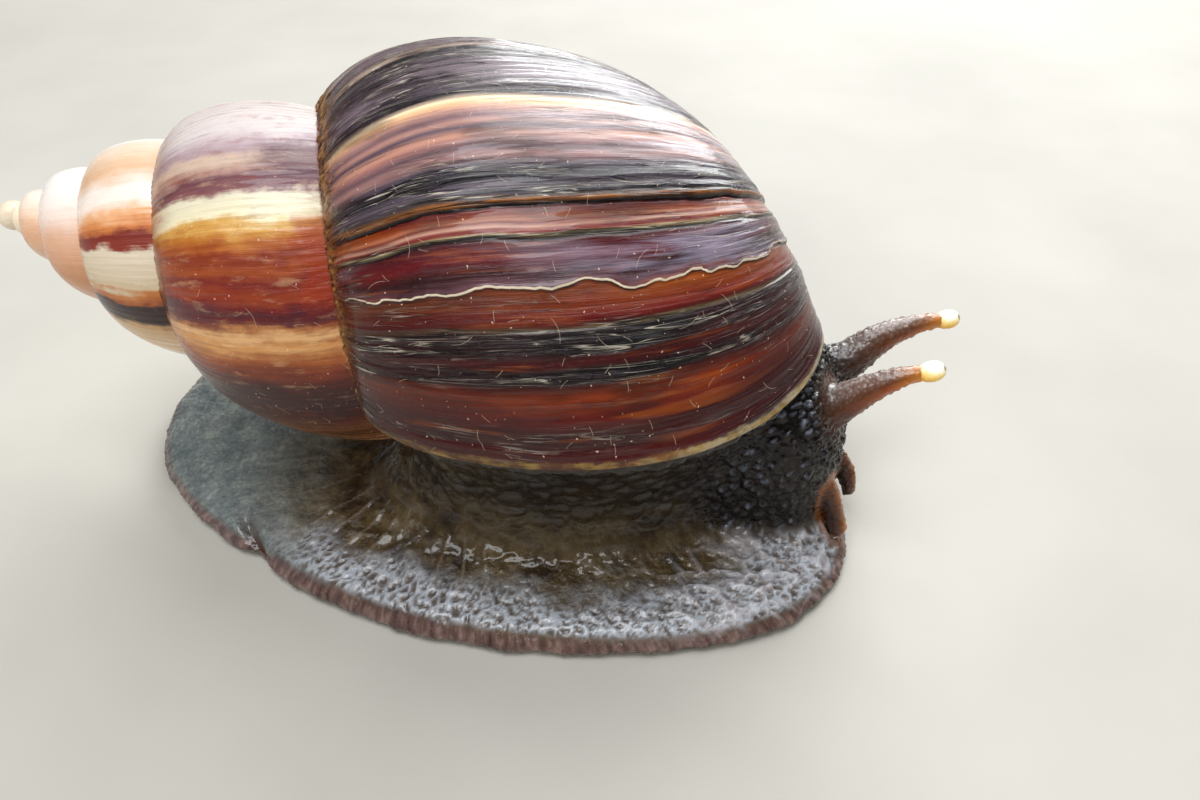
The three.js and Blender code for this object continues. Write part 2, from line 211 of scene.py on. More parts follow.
# ---- Node materials ----
class Shade:
    def __init__(self, name):
        self.material = bpy.data.materials.new(name)
        self.material.use_nodes = True
        self.tree = self.material.node_tree
        self.tree.nodes.clear()

    def node(self, kind, **settings):
        made = self.tree.nodes.new("ShaderNode" + kind)
        for key, value in settings.items():
            setattr(made, key, value)
        return made

    def put(self, socket, value):
        if isinstance(value, bpy.types.NodeSocket):
            self.tree.links.new(value, socket)
        elif value is not None:
            socket.default_value = value

    def attribute(self, name):
        return self.node("Attribute", attribute_name=name).outputs["Fac"]

    def math(self, operation, a, b=None, c=None):
        made = self.node("Math", operation=operation)
        for socket, value in zip(made.inputs, (a, b, c)):
            self.put(socket, value)
        return made.outputs[0]

    def add(self, a, b):
        return self.math("ADD", a, b)

    def times(self, a, b):
        return self.math("MULTIPLY", a, b)

    def vector(self, x, y, z=0.0):
        made = self.node("CombineXYZ")
        for socket, value in zip(made.inputs, (x, y, z)):
            self.put(socket, value)
        return made.outputs[0]

    def stretched(self, a, b, along, across, offset=0.0):
        return self.vector(self.times(a, along), self.times(b, across), offset)

    def noise(self, place, scale, detail=2.0, roughness=0.5, distortion=0.0):
        made = self.node("TexNoise")
        self.put(made.inputs["Vector"], place)
        made.inputs["Scale"].default_value = scale
        made.inputs["Detail"].default_value = detail
        made.inputs["Roughness"].default_value = roughness
        made.inputs["Distortion"].default_value = distortion
        return made.outputs["Fac"]

    def cells(self, place, scale, feature="F1", output="Distance"):
        made = self.node("TexVoronoi", feature=feature)
        self.put(made.inputs["Vector"], place)
        made.inputs["Scale"].default_value = scale
        return made.outputs[output]

    def span(self, value, low, high, to_low=0.0, to_high=1.0, kind="SMOOTHSTEP"):
        made = self.node("MapRange", interpolation_type=kind)
        self.put(made.inputs["Value"], value)
        made.inputs["From Min"].default_value = low
        made.inputs["From Max"].default_value = high
        made.inputs["To Min"].default_value = to_low
        made.inputs["To Max"].default_value = to_high
        return made.outputs["Result"]

    def ramp(self, value, stops, low=0.0, high=1.0):
        made = self.node("ValToRGB")
        self.put(made.inputs["Fac"], self.span(value, low, high, kind="LINEAR"))
        band = made.color_ramp
        while len(band.elements) < len(stops):
            band.elements.new(1.0)
        for element, (place, code) in zip(band.elements, stops):
            element.position = (place - low) / (high - low)
            element.color = rgb(code)
        return made.outputs["Color"]

    def mix(self, share, a, b, blend="MIX"):
        made = self.node("Mix", data_type="RGBA", blend_type=blend)
        made.clamp_factor = True
        self.put(made.inputs["Factor"], share)
        self.put(made.inputs["A"] if False else made.inputs[6], a)
        self.put(made.inputs[7], b)
        return made.outputs[2]

    def bump(self, height, strength, distance, below=None):
        made = self.node("Bump")
        made.inputs["Strength"].default_value = strength
        made.inputs["Distance"].default_value = distance
        self.put(made.inputs["Height"], height)
        if below is not None:
            self.put(made.inputs["Normal"], below)
        return made.outputs["Normal"]

    def finish(self, colour, roughness, normal, **constants):
        shader = self.node("BsdfPrincipled")
        self.put(shader.inputs["Base Color"], colour)
        self.put(shader.inputs["Roughness"], roughness)
        self.put(shader.inputs["Normal"], normal)
        for name, value in constants.items():
            shader.inputs[name.replace("_", " ")].default_value = value
        out = self.node("OutputMaterial")
        self.tree.links.new(shader.outputs[0], out.inputs["Surface"])
        return self.material


# ---- Shell form: a right-handed spiral. Millimetres, the same named values as the solids ----
WHORLS = 7
SHELL_RADIUS = 26.4
SHELL_LENGTH_TO_LIP_MIDDLE = 56.6
SECTION_HALF_WIDTH = 12.6
SECTION_HALF_HEIGHT = 22.4
SECTION_TILT = -0.0495
APEX_BLUNTNESS = 0.96
GROWTH = (0.5583, 0.0777, 0.0158)
DESCENT_POWER = 1.2433
LIP_SLANT = (0.0688, 0.0276, 0.0202)
COLUMELLA_RATIO = 0.2
APEX_CAP_RADIUS = 1.4
APEX_CAP_CENTRE = 1.1
APEX = np.array((-43.9, 8.4, 28.9))
AXIS_YAW = math.radians(0.16)
AXIS_DIP = math.radians(9.53)
LIP_ANGLE = math.radians(86.3)
LIP_THICKNESS = 0.6
# Growth lines between which the skin of the last whorl is coarsely ridged: from, to, how much.
ROUGH_BANDS = ((6.10, 6.30, 0.6), (6.40, 6.53, 0.8), (6.60, 6.802, 0.6), (6.822, 6.832, 0.5), (6.851, 6.8715, 0.9),
               (6.8855, 6.8895, 0.8), (6.9300, 6.9440, 1.0), (6.9495, 6.9570, 1.0), (6.984, 6.999, 0.35))
CRACK = 6.872
PEEL = 6.912

axis = np.array((math.cos(AXIS_DIP) * math.cos(AXIS_YAW), math.cos(AXIS_DIP) * math.sin(AXIS_YAW),
                 -math.sin(AXIS_DIP)))
up = np.array((0, 0, 1.0)) - axis * axis[2]
up /= np.linalg.norm(up)
side = np.cross(axis, up)
TILT_C, TILT_S = math.cos(SECTION_TILT), math.sin(SECTION_TILT)
REACH = math.hypot(SECTION_HALF_WIDTH * TILT_C, SECTION_HALF_HEIGHT * TILT_S)


def growth(turn):
    u = turn - WHORLS
    return np.exp(GROWTH[0] * u + GROWTH[1] * u * u + GROWTH[2] * u * u * u)


def leaning_turn(line, s):
    lean = -LIP_SLANT[0] * np.sin(s) - LIP_SLANT[1] * (1 - np.cos(s)) + LIP_SLANT[2] * np.sin(2 * s)
    return np.maximum(line + lean * np.minimum(1, line / 2), 0.02)


def shell_point(line, s, swell=0.0):
    """The shell's surface at a growth line and a place s round the whorl's section, swell outside it."""
    turn = leaning_turn(line, s)
    g = growth(turn)
    ex = (g * SECTION_HALF_WIDTH + swell) * np.cos(s)
    ey = (g * SECTION_HALF_HEIGHT + swell) * np.sin(s)
    r = g * (SHELL_RADIUS - REACH) + ex * TILT_C + ey * TILT_S
    z = APEX_BLUNTNESS + SHELL_LENGTH_TO_LIP_MIDDLE * g ** DESCENT_POWER - ex * TILT_S + ey * TILT_C
    angle = TAU * (turn - WHORLS) + LIP_ANGLE
    return (APEX + z[..., None] * axis + (r * np.cos(angle))[..., None] * up
            + (r * np.sin(angle))[..., None] * side)


def clearance(points, turn):
    """How far points lie outside the whorl that has the given turn at their place, in millimetres."""
    v = points - APEX
    z = v @ axis
    r = np.hypot(v @ up, v @ side)
    g = growth(turn)
    dr = r - g * (SHELL_RADIUS - REACH)
    dz = z - (APEX_BLUNTNESS + SHELL_LENGTH_TO_LIP_MIDDLE * g ** DESCENT_POWER)
    ex = dr * TILT_C - dz * TILT_S
    ey = dr * TILT_S + dz * TILT_C
    q = np.hypot(ex / (g * SECTION_HALF_WIDTH), ey / (g * SECTION_HALF_HEIGHT))
    return (1 - 1 / np.maximum(q, 1e-3)) * np.hypot(ex, ey)


def beside_shell(points):
    """For points in space: how far outside the last whorl they lie, and the growth line they lie under."""
    v = points - APEX
    turn = 6.1 + np.mod((np.arctan2(v @ side, v @ up) - LIP_ANGLE) / TAU + WHORLS - 6.1, 1.0)
    g = growth(turn)
    dr = np.hypot(v @ up, v @ side) - g * (SHELL_RADIUS - REACH)
    dz = v @ axis - (APEX_BLUNTNESS + SHELL_LENGTH_TO_LIP_MIDDLE * g ** DESCENT_POWER)
    s = np.arctan2((dr * TILT_S + dz * TILT_C) / SECTION_HALF_HEIGHT, (dr * TILT_C - dz * TILT_S) / SECTION_HALF_WIDTH)
    lean = -LIP_SLANT[0] * np.sin(s) - LIP_SLANT[1] * (1 - np.cos(s)) + LIP_SLANT[2] * np.sin(2 * s)
    return clearance(points, turn), turn - lean


def make_shell():
    runs = [(1.7, 3.0, 60), (3.0, 4.0, 120), (4.0, 4.7, 130), (4.7, 5.1, 150), (5.1, 5.62, 120),
            (5.62, 6.12, 300), (6.12, 6.58, 150), (6.58, 7.0, 460)]
    share = 1.0
    lines = np.concatenate([np.linspace(a, b, int(n * share), endpoint=False) for a, b, n in runs] + [[7.0]])
    outer, inner = int(210 * share), int(34 * share)
    around = np.concatenate([np.linspace(-2.0, 2.2, outer, endpoint=False),
                             np.linspace(2.2, TAU - 2.0, inner, endpoint=False)])
    line, s = np.meshgrid(lines, around, indexing="ij")
    base = shell_point(line, s)
    step = 1e-4
    along = shell_point(line + step, s) - shell_point(line - step, s)
    round_it = shell_point(line, s + step) - shell_point(line, s - step)
    normal = np.cross(along, round_it)
    normal /= np.linalg.norm(normal, axis=2, keepdims=True) + 1e-12
    middle = base.mean(axis=1, keepdims=True)
    if ((base - middle) * normal).sum() < 0:
        normal = -normal
    g = growth(leaning_turn(line, s))

    # Millimetres along the growth of the whorl, and round its section.
    fine = np.linspace(0, WHORLS, 4001)
    run = np.concatenate([[0], np.cumsum(TAU * SHELL_RADIUS * (growth(fine[1:]) + growth(fine[:-1])) / 2
                                         * np.diff(fine))])
    arc = np.interp(line, fine, run)
    pace = TAU * SHELL_RADIUS * growth(line)
    angles = np.linspace(-math.pi, math.pi * 2, 2001)
    piece = np.hypot(SECTION_HALF_WIDTH * np.sin(angles), SECTION_HALF_HEIGHT * np.cos(angles))
    length = np.concatenate([[0], np.cumsum((piece[1:] + piece[:-1]) / 2 * np.diff(angles))])
    length -= np.interp(0, angles, length)
    across = np.interp(s, angles, length) * growth(line)
    centred = across - np.interp(0, angles, length)
    turn = leaning_turn(line, s)
    before = clearance(base, turn - 1)
    after = np.where(turn + 1 < 7.0, clearance(base, turn + 1), 9.0)

    # Millimetres of surface from the seam with the whorl before, and to the seam with the next.
    count_outer = outer
    rows = np.arange(len(lines))
    covered = (before[:, :count_outer - 1] < 0.05) & (around[:count_outer - 1] < 0.5)
    last = np.where(covered.any(axis=1), count_outer - 2 - np.argmax(covered[:, ::-1], axis=1), 0)
    low, high = before[rows, last], before[rows, last + 1]
    part_way = np.clip((0.05 - low) / np.maximum(high - low, 1e-6), 0, 1)
    seam_at = centred[rows, last] * (1 - part_way) + centred[rows, last + 1] * part_way
    from_seam = centred - seam_at[:, None]
    from_seam[~covered.any(axis=1)] = 9.0
    hidden = (after[:, :count_outer] < 0.05) & (around[:count_outer] > 0)
    first = np.maximum(np.argmax(hidden, axis=1), 1)
    low, high = after[rows, first], after[rows, first - 1]
    part_way = np.clip((0.05 - low) / np.maximum(high - low, 1e-6), 0, 1)
    seam_at = centred[rows, first] * (1 - part_way) + centred[rows, first - 1] * part_way
    to_seam = seam_at[:, None] - centred
    to_seam[~hidden.any(axis=1)] = 9.0
    from_seam[:, count_outer:] = 9.0
    to_seam[:, count_outer:] = 9.0

    # Relief in millimetres. Bands follow the growth lines, with a sway that colour and relief share.
    late = smooth(line, 5.9, 6.3)
    size = np.clip(growth(line), 0.05, 1)
    sway = 1.1 * (layered(across / 9, arc / 25, 0, 21, 2) - 0.5)
    torn = 1.9 * (layered(across / 2.6, 0, 0, 22, 4) - 0.5) * np.exp(-((line - PEEL) * pace / 1.3) ** 2)
    split_jag = 0.5 * (layered(across / 1.8, 0, 0, 24, 3) - 0.5) * np.exp(-((line - CRACK) * pace / 0.8) ** 2)
    bands = line + (sway + torn + split_jag) / pace
    relief = 0.13 * late * (layered(arc / 2.4, across / 30, 0, 3) - 0.5)
    relief += 0.34 * size * (layered(arc / 11, across / 14, 0, 5) - 0.5)
    rough = np.full(line.shape, 0.2)
    for start, end, amount in ROUGH_BANDS:
        at = bands + 0.4 * (layered(arc / 2, across / 6, 0, 13, 2) - 0.5) / pace
        patchy = 0.45 + 1.1 * noise(arc / 2.2, across / 9, 0, 14)
        rough = np.maximum(rough, np.clip(amount * patchy, 0, 1) * smooth(at, start - 0.002, start + 0.002)
                           * (1 - smooth(at, end - 0.002, end + 0.002)))
    rough = np.maximum(rough * late, 0.12)
    bent = arc + 0.8 * (layered(arc / 4, across / 6, 0, 8, 2) - 0.5)
    split = noise(bent / 0.46, across / 13, 0, 7)
    stria = 0.62 * (1 - np.abs(2 * split - 1)) + 0.38 * noise(bent / 0.25, across / 8, 0, 9)
    stria = np.maximum(stria, 0.3)
    relief += (stria - 0.5) * (0.05 + 0.30 * rough) * size
    ribs = 0.5 + 0.5 * np.sin(TAU * (arc / (0.62 * size ** 0.5) + 0.9 * noise(arc / 3, across / 5, 0, 9)))
    relief += 0.05 * (ribs - 0.5) * (1 - late) * (1 - smooth(s, 0.3, 1.3)) * size ** 0.4

    def groove(at, depth, width):
        return -depth * np.exp(-((bands - at) * pace / width) ** 2)

    held = smooth(from_seam, 0.8, 3.0)
    past_crack, past_peel = (bands - CRACK) * pace, (bands - PEEL) * pace
    relief += held * (groove(CRACK, 0.30, 0.13) + 0.14 * smooth(past_crack, -1.5, -0.1) * (1 - smooth(past_crack, -0.1, 0.1))
                      - 0.16 * smooth(past_crack, -0.05, 0.12) * (1 - smooth(past_crack, 0.6, 3.0)))
    relief += held * (groove(PEEL - 0.0006, -0.12, 0.10) - 0.12 * smooth(past_peel, -0.02, 0.08)
                      * (1 - smooth(past_peel, 1.0, 3.0)))
    relief += held * (groove(6.8885, 0.15, 0.12) + groove(6.9305, 0.13, 0.12) + groove(6.8045, 0.08, 0.10)
                      + groove(6.742, 0.07, 0.10) + groove(6.8615, 0.06, 0.09))
    # The upper edge of each whorl is pressed to the one before, with crumbs and small uneven teeth.
    teeth = np.sin(TAU * arc / (1.1 * size ** 0.6) + 5.0 * noise(arc / 3, 0, 0, 41))
    at_seam = np.exp(-(from_seam / (0.7 * size)) ** 2)
    crumbs = layered(arc / 0.9, centred / 0.9, 0, 43) - 0.45
    relief += at_seam * (0.05 + 0.015 * teeth + 0.35 * np.clip(crumbs, 0, 1)) * size ** 0.5
    relief += (0.45 * np.clip(crumbs, 0, 1) + 0.25 * (layered(arc / 1.6, centred / 5, 0, 44) - 0.5)) * late * np.exp(
        -((from_seam - 0.9) / 1.5) ** 2)
    # The mouth's edge.
    near_lip = (7.0 - line) * pace
    relief += 0.08 * np.exp(-((near_lip - 0.9) / 0.45) ** 2) - 0.07 * np.exp(-((near_lip - 1.9) / 0.3) ** 2)
    relief += 0.12 * (layered(across / 2.2, arc / 0.8, 0, 51) - 0.5) * np.exp(-near_lip / 1.2)
    skin = base + normal * relief[..., None]

    # From the outer edge of the mouth, round its lip and back inside.
    rows = [skin]
    values = [np.stack([line, arc, centred, from_seam, to_seam, pace, np.zeros_like(line), stria, rough, bands],
                       axis=2)]
    far = np.full(len(around), 9.0)
    plain = np.full(len(around), 0.5)
    last_line = np.full(len(around), 7.0)
    wavy = 0.25 * (layered(centred[-1] / 3.0, 0, 0, 61) - 0.5)
    for forward, depth in ((0.14, 0.08), (0.22, 0.3), (0.14, 0.52), (0.0, LIP_THICKNESS)):
        rows.append(shell_point(last_line + (forward + wavy * 0.6) / pace[-1], around,
                                np.full(len(around), -depth))[None])
        values.append(np.stack([last_line + 0.001, arc[-1] + forward, centred[-1], far, far, pace[-1],
                                np.full(len(around), depth / LIP_THICKNESS), plain, plain * 0.4,
                                last_line + 0.001], axis=1)[None])
    for k in np.linspace(0.008, 0.15, 14):
        rows.append(shell_point(last_line - k, around, np.full(len(around), -LIP_THICKNESS))[None])
        values.append(np.stack([last_line - k, arc[-1] - k * pace[-1], centred[-1], far, far, pace[-1],
                                np.ones(len(around)), plain, plain * 0.4, last_line - k], axis=1)[None])
    points = np.concatenate(rows)
    values = np.concatenate(values)
    count, sides = points.shape[:2]
    index = np.arange(count * sides).reshape(count, sides)
    nxt = np.roll(index, -1, axis=1)
    quads = np.stack([index[:-1], nxt[:-1], nxt[1:], index[1:]], axis=3 - 1).reshape(-1, 4)
    probe = points.reshape(-1, 3)
    q = quads[len(quads) // 2]
    face_normal = np.cross(probe[q[1]] - probe[q[0]], probe[q[2]] - probe[q[0]])
    ring = (len(quads) // 2) // sides
    if np.dot(face_normal, probe[q[0]] - points[ring].mean(axis=0)) < 0:
        quads = quads[:, ::-1]
    values = values.reshape(-1, values.shape[2])

    # The first, round whorl, and the pillar about the axis.
    def ball(radius, centre, line_at, rows_count=20, sides_count=32):
        v = np.linspace(0, math.pi, rows_count)[1:-1]
        w = np.linspace(0, TAU, sides_count, endpoint=False)
        vv, ww = np.meshgrid(v, w, indexing="ij")
        p = centre + radius * (np.cos(vv)[..., None] * axis + np.sin(vv)[..., None]
                               * (np.cos(ww)[..., None] * up + np.sin(ww)[..., None] * side))
        return p, np.stack([np.full(vv.shape, line_at), ww * radius * 3, vv * radius, np.full(vv.shape, 9.0),
                            np.full(vv.shape, 9.0), np.full(vv.shape, 20.0), np.zeros(vv.shape),
                            np.full(vv.shape, 0.5), np.full(vv.shape, 0.15), np.full(vv.shape, line_at)], axis=2)

    def lathe_from(profile_line):
        g1 = growth(profile_line)
        height = APEX_BLUNTNESS + SHELL_LENGTH_TO_LIP_MIDDLE * g1 ** DESCENT_POWER
        w = np.linspace(0, TAU, 32, endpoint=False)
        rr, ww = np.meshgrid(COLUMELLA_RATIO * SHELL_RADIUS * g1, w, indexing="ij")
        hh = np.broadcast_to(height[:, None], rr.shape)
        p = APEX + hh[..., None] * axis + (rr * np.cos(ww))[..., None] * up + (rr * np.sin(ww))[..., None] * side
        ones = np.ones(rr.shape)
        return p, np.stack([ones * 6.9, hh, ww * rr, ones * 9, ones * 9, ones * 160, ones, ones * 0.5, ones * 0.2,
                            ones * 6.9], axis=2)

    vertices = [probe]
    attributes = [values]
    faces = [quads]
    offset = len(probe)
    for p, val in (ball(APEX_CAP_RADIUS, APEX + axis * APEX_CAP_CENTRE, 2.2),
                   lathe_from(np.linspace(3.0, 6.78, 30))):
        n, m = p.shape[:2]
        idx = np.arange(n * m).reshape(n, m) + offset
        nx = np.roll(idx, -1, axis=1)
        block = np.stack([idx[:-1], idx[1:], nx[1:], nx[:-1]], axis=2).reshape(-1, 4)
        flat = p.reshape(-1, 3)
        b = block[len(block) // 2] - offset
        fn = np.cross(flat[b[1]] - flat[b[0]], flat[b[2]] - flat[b[0]])
        if np.dot(fn, flat[b[0]] - p.mean(axis=(0, 1))) < 0:
            block = block[:, ::-1]
        vertices.append(flat)
        attributes.append(val.reshape(-1, 10))
        faces.append(block)
        offset += n * m
    vertices = np.concatenate(vertices)
    attributes = np.concatenate(attributes)
    thing = fast_object("shell", vertices * MM, np.concatenate(faces))
    # Close the tube's first ring, its inner end, and the ends of the cap and of the pillar.
    mesh = thing.data
    work = bmesh.new()
    work.from_mesh(mesh)
    bmesh.ops.holes_fill(work, edges=[e for e in work.edges if e.is_boundary], sides=0)
    bmesh.ops.triangulate(work, faces=[f for f in work.faces if len(f.verts) > 4])
    work.to_mesh(mesh)
    work.free()
    for i, name in enumerate(("line", "arc", "across", "from_seam", "to_seam", "pace", "inside", "stria", "rough",
                              "bands")):
        set_attribute(mesh, name, attributes[:, i])
    smooth_faces(mesh)
    return thing


def shell_material():
    m = Shade("shell_banded")
    line, arc, across = m.attribute("line"), m.attribute("arc"), m.attribute("across")
    before, after, pace = m.attribute("from_seam"), m.attribute("to_seam"), m.attribute("pace")
    bands = m.attribute("bands")
    place = m.node("SeparateXYZ")
    m.put(place.inputs[0], m.node("TexCoord").outputs["Object"])
    ahead = m.times(place.outputs["X"], 1000.0)
    inside, stria, rough = m.attribute("inside"), m.attribute("stria"), m.attribute("rough")
    # Bands follow the growth lines and wander a little.
    slow = m.noise(m.stretched(arc, across, 0.16, 0.13), 1.0, 3.0)
    streak = m.noise(m.stretched(arc, across, 1.5, 0.055, 3.0), 1.0, 4.0, 0.6)
    sway = m.add(m.times(m.add(slow, -0.5), 2.6), m.times(m.add(streak, -0.5), 2.0))
    mottle = m.noise(m.stretched(arc, across, 0.55, 0.35, 14.0), 1.0, 5.0, 0.6)
    warped = m.add(line, m.math("DIVIDE", m.add(sway, m.times(m.add(mottle, -0.5), 2.4)), pace))
    close = m.add(bands, m.math("DIVIDE", m.times(m.add(streak, -0.5), 0.42), pace))
    spire = m.ramp(warped, [
        (1.7, "e8d8bc"), (2.4, "ecdcc4"), (2.7, "f2e8de"), (2.9, "e8ccb4"), (3.0, "d8a682"), (3.12, "e0bca0"),
        (3.6, "ecdfd6"), (3.74, "f4efec"), (3.87, "ecdcd2"), (3.95, "dcae90"), (4.04, "c4885c"),
        (4.12, "d4a480"), (4.3, "e0c8b2"), (4.5, "d6ac88"), (4.72, "ece4e0")], 1.7, 4.72)
    second = m.ramp(warped, [
        (4.72, "f0dcc8"), (4.81, "d8b08c"), (4.845, "eee0d6"), (4.865, "f2e2d6"), (4.885, "e3ab7c"), (4.902, "c8783e"), (4.913, "74241a"),
        (4.930, "82301f"), (4.937, "d8cab4"), (4.985, "c8b494"), (4.995, "b87236"), (5.008, "9a5022"),
        (5.014, "2c1210"), (5.040, "240f0d"), (5.052, "c39a68"), (5.10, "dcc6a2")], 4.72, 5.10)
    first = m.ramp(warped, [
        (5.64, "b49880"), (5.70, "d8ccc6"), (5.785, "d2c8c6"), (5.800, "bcaaae"), (5.812, "a48c90"),
        (5.822, "c8b09c"), (5.836, "a88478"), (5.845, "603440"), (5.856, "7c4c4c"), (5.863, "d8d0b8"),
        (5.882, "e6dcb8"), (5.890, "d0a050"), (5.900, "b47026"), (5.910, "a05016"), (5.918, "7c2a10"),
        (5.928, "984618"), (5.938, "701a10"), (5.948, "8c3410"), (5.956, "6c1812"), (5.964, "48101c"), (5.974, "5c1c1c"),
        (5.980, "a86c3c"), (5.988, "d8aa74"), (5.994, "c08448"), (6.000, "cc9458"), (6.012, "9c5220"),
        (6.024, "742c0c"), (6.034, "541a0c"), (6.044, "340c08"), (6.066, "2e0c08"), (6.090, "4c1c0c"),
        (6.12, "7c4a22")], 5.64, 6.12)
    upper = m.ramp(close, [
        (6.60, "46383a"), (6.66, "645458"), (6.690, "54464a"), (6.699, "a08e7c"), (6.706, "5a4c50"), (6.730, "6c5c60"),
        (6.742, "8a7668"), (6.746, "241c20"), (6.765, "56484e"), (6.785, "70606a"), (6.798, "382e36"), (6.8020, "18121a"),
        (6.8040, "a08c7c"), (6.8065, "ecd2aa"), (6.8100, "d8a67c"), (6.814, "b08474"), (6.820, "6c5058"), (6.8235, "a4786c"),
        (6.827, "4c3c4a"), (6.832, "b4806c"), (6.836, "8c605c"), (6.840, "5c444c"), (6.8445, "946c68"), (6.850, "443844"),
        (6.857, "1c1a22"), (6.862, "50444e"), (6.8665, "28222a"), (6.8685, "54341c"), (6.8704, "9c5c22"),
        (6.8714, "0c0404"), (6.8728, "080202")], 6.60, 6.8728)
    lower = m.ramp(close, [
        (6.8728, "0a0202"), (6.8737, "5a0c08"), (6.8765, "742a10"), (6.8790, "9c6044"), (6.8805, "64221a"),
        (6.8825, "b08470"), (6.8838, "6c2620"), (6.8853, "6c1818"), (6.8868, "a09068"), (6.8876, "5c4c38"),
        (6.8885, "0a080c"), (6.8905, "400810"), (6.898, "540a10"), (6.905, "2c060a"),
        (6.9108, "543038"), (6.9126, "2c0a02"), (6.9145, "7a3810"), (6.922, "70260c"), (6.9265, "601008"),
        (6.9295, "4c100c"), (6.9308, "5c4c30"), (6.9330, "100e14"), (6.942, "08080c"), (6.9465, "440c0c"),
        (6.951, "0a060a"), (6.956, "0c0608"), (6.9585, "3c1208"), (6.964, "782c08"),
        (6.974, "540e06"), (6.981, "2c0404"), (6.9955, "400806")], 6.8728, 6.9955)
    behind = m.noise(m.stretched(arc, across, 0.22, 0.012, 7.0), 1.0, 5.0, 0.65)
    back_body = m.ramp(behind, [
        (0.30, "1c1214"), (0.38, "4b1618"), (0.43, "7c2f18"), (0.47, "a45a2c"), (0.50, "d8ac74"),
        (0.53, "95604e"), (0.58, "54404a"), (0.66, "221a1f"), (0.75, "6a2416")])
    back_early = m.ramp(behind, [
        (0.30, "8a4a2c"), (0.38, "5a201c"), (0.43, "b5602a"), (0.47, "e0ac70"), (0.52, "f2e4ce"),
        (0.60, "e2c8a4"), (0.66, "a3441e"), (0.75, "d9b184")])
    # The whorl before the last is wet and redder beside the seam of the last, purple where its stripe meets it.
    near_edge = m.add(after, m.times(m.add(mottle, -0.5), 7.0))
    wet = m.times(m.span(near_edge, 2.1, 2.9, 1.0, 0.0), m.times(m.span(line, 5.878, 5.892), m.span(line, 5.955, 5.975, 1.0, 0.0)))
    first = m.mix(m.times(wet, 0.6), first, rgb("942c08"))
    block = m.times(m.span(near_edge, 3.0, 6.5, 1.0, 0.0), m.times(m.span(warped, 5.795, 5.812), m.span(warped, 5.852, 5.860, 1.0, 0.0)))
    first = m.mix(m.times(block, 0.8), first, rgb("5c3c48"))
    start_edge = m.times(m.span(m.add(before, m.times(m.add(slow, -0.5), 4.0)), 0.4, 4.6, 1.0, 0.0), m.span(line, 5.7, 5.8))
    first = m.mix(m.times(start_edge, 0.6), first, rgb("a86a3c"), "MULTIPLY")
    colour = m.mix(m.span(line, 4.715, 4.725), spire, second)
    colour = m.mix(m.span(line, 5.07, 5.11), colour, back_early)
    colour = m.mix(m.span(line, 5.64, 5.68), colour, first)
    colour = m.mix(0.14, colour, rgb("3a3234"))
    colour = m.mix(m.span(line, 6.12, 6.17), colour, back_body)
    colour = m.mix(m.span(line, 6.60, 6.64), colour, upper)
    colour = m.mix(m.math("GREATER_THAN", close, 6.8728), colour, lower)
    late = m.span(line, 5.95, 6.2)
    # Flames: broad paler and darker patches along the bands.
    flame = m.noise(m.stretched(arc, across, 0.35, 0.09, 11.0), 1.0, 3.0, 0.55)
    colour = m.mix(m.times(m.span(flame, 0.50, 0.66), m.times(late, 0.6)), colour, rgb("1c0406"))
    ember = m.noise(m.stretched(arc, across, 0.9, 0.07, 16.0), 1.0, 4.0, 0.6)
    lit = m.times(m.span(ember, 0.52, 0.66), m.times(m.span(rough, 0.45, 0.2), m.span(line, 6.872, 6.876)))
    colour = m.mix(m.times(lit, 0.3), colour, rgb("ac560e"))
    wine = m.times(m.span(m.add(ahead, m.times(m.add(flame, -0.5), 40.0)), 18.0, -6.0), m.span(bands, 6.9115, 6.9135))
    colour = m.mix(m.times(wine, 0.72), colour, rgb("2c0608"))
    far_wine = m.times(m.span(m.add(ahead, m.times(m.add(flame, -0.5), 20.0)), 17.0, 25.0), m.span(bands, 6.928, 6.936))
    colour = m.mix(m.times(far_wine, 0.62), colour, rgb("34080c"))
    # Painted highlight: the pale bands from 6.80 to 6.85 turn whitish towards the front, standing in for the sky's
    # reflection.
    painted_pale_highlight = m.times(m.times(m.span(ahead, 0.0, 22.0), m.span(ember, 0.40, 0.56)),
                       m.times(m.span(bands, 6.80, 6.808), m.span(bands, 6.828, 6.850, 1.0, 0.0)))
    colour = m.mix(m.times(painted_pale_highlight, 0.6), colour, rgb("dcd2d6"))
    early = m.times(m.span(late, 0.0, 1.0, 1.0, 0.0), m.span(line, 5.60, 5.70))
    cloud = m.noise(m.stretched(arc, across, 0.9, 0.25, 17.0), 1.0, 5.0, 0.65)
    colour = m.mix(m.times(m.span(cloud, 0.52, 0.68), m.times(early, 0.4)), colour, rgb("7c2e18"))
    colour = m.mix(m.times(m.span(cloud, 0.46, 0.32), m.times(early, 0.2)), colour, rgb("e0bc8c"))
    # A thin dull film on the wine band, and a painted lilac reflection of the sky on it.
    film = m.times(m.span(m.noise(m.stretched(arc, across, 0.12, 0.06, 12.0), 1.0, 2.0), 0.48, 0.66),
                   m.times(m.span(line, 6.888, 6.894), m.span(warped, 6.909, 6.913, 1.0, 0.0)))
    colour = m.mix(m.times(film, 0.45), colour, rgb("8c8494"))
    # Painted reflection: lilac on the film towards the front, where it would catch the sky.
    lilac = m.times(m.times(m.span(ahead, 6.0, 20.0), m.span(ember, 0.42, 0.60)),
                    m.times(m.span(bands, 6.889, 6.896), m.span(bands, 6.904, 6.911, 1.0, 0.0)))
    colour = m.mix(m.times(lilac, 0.55), colour, rgb("9894ac"))
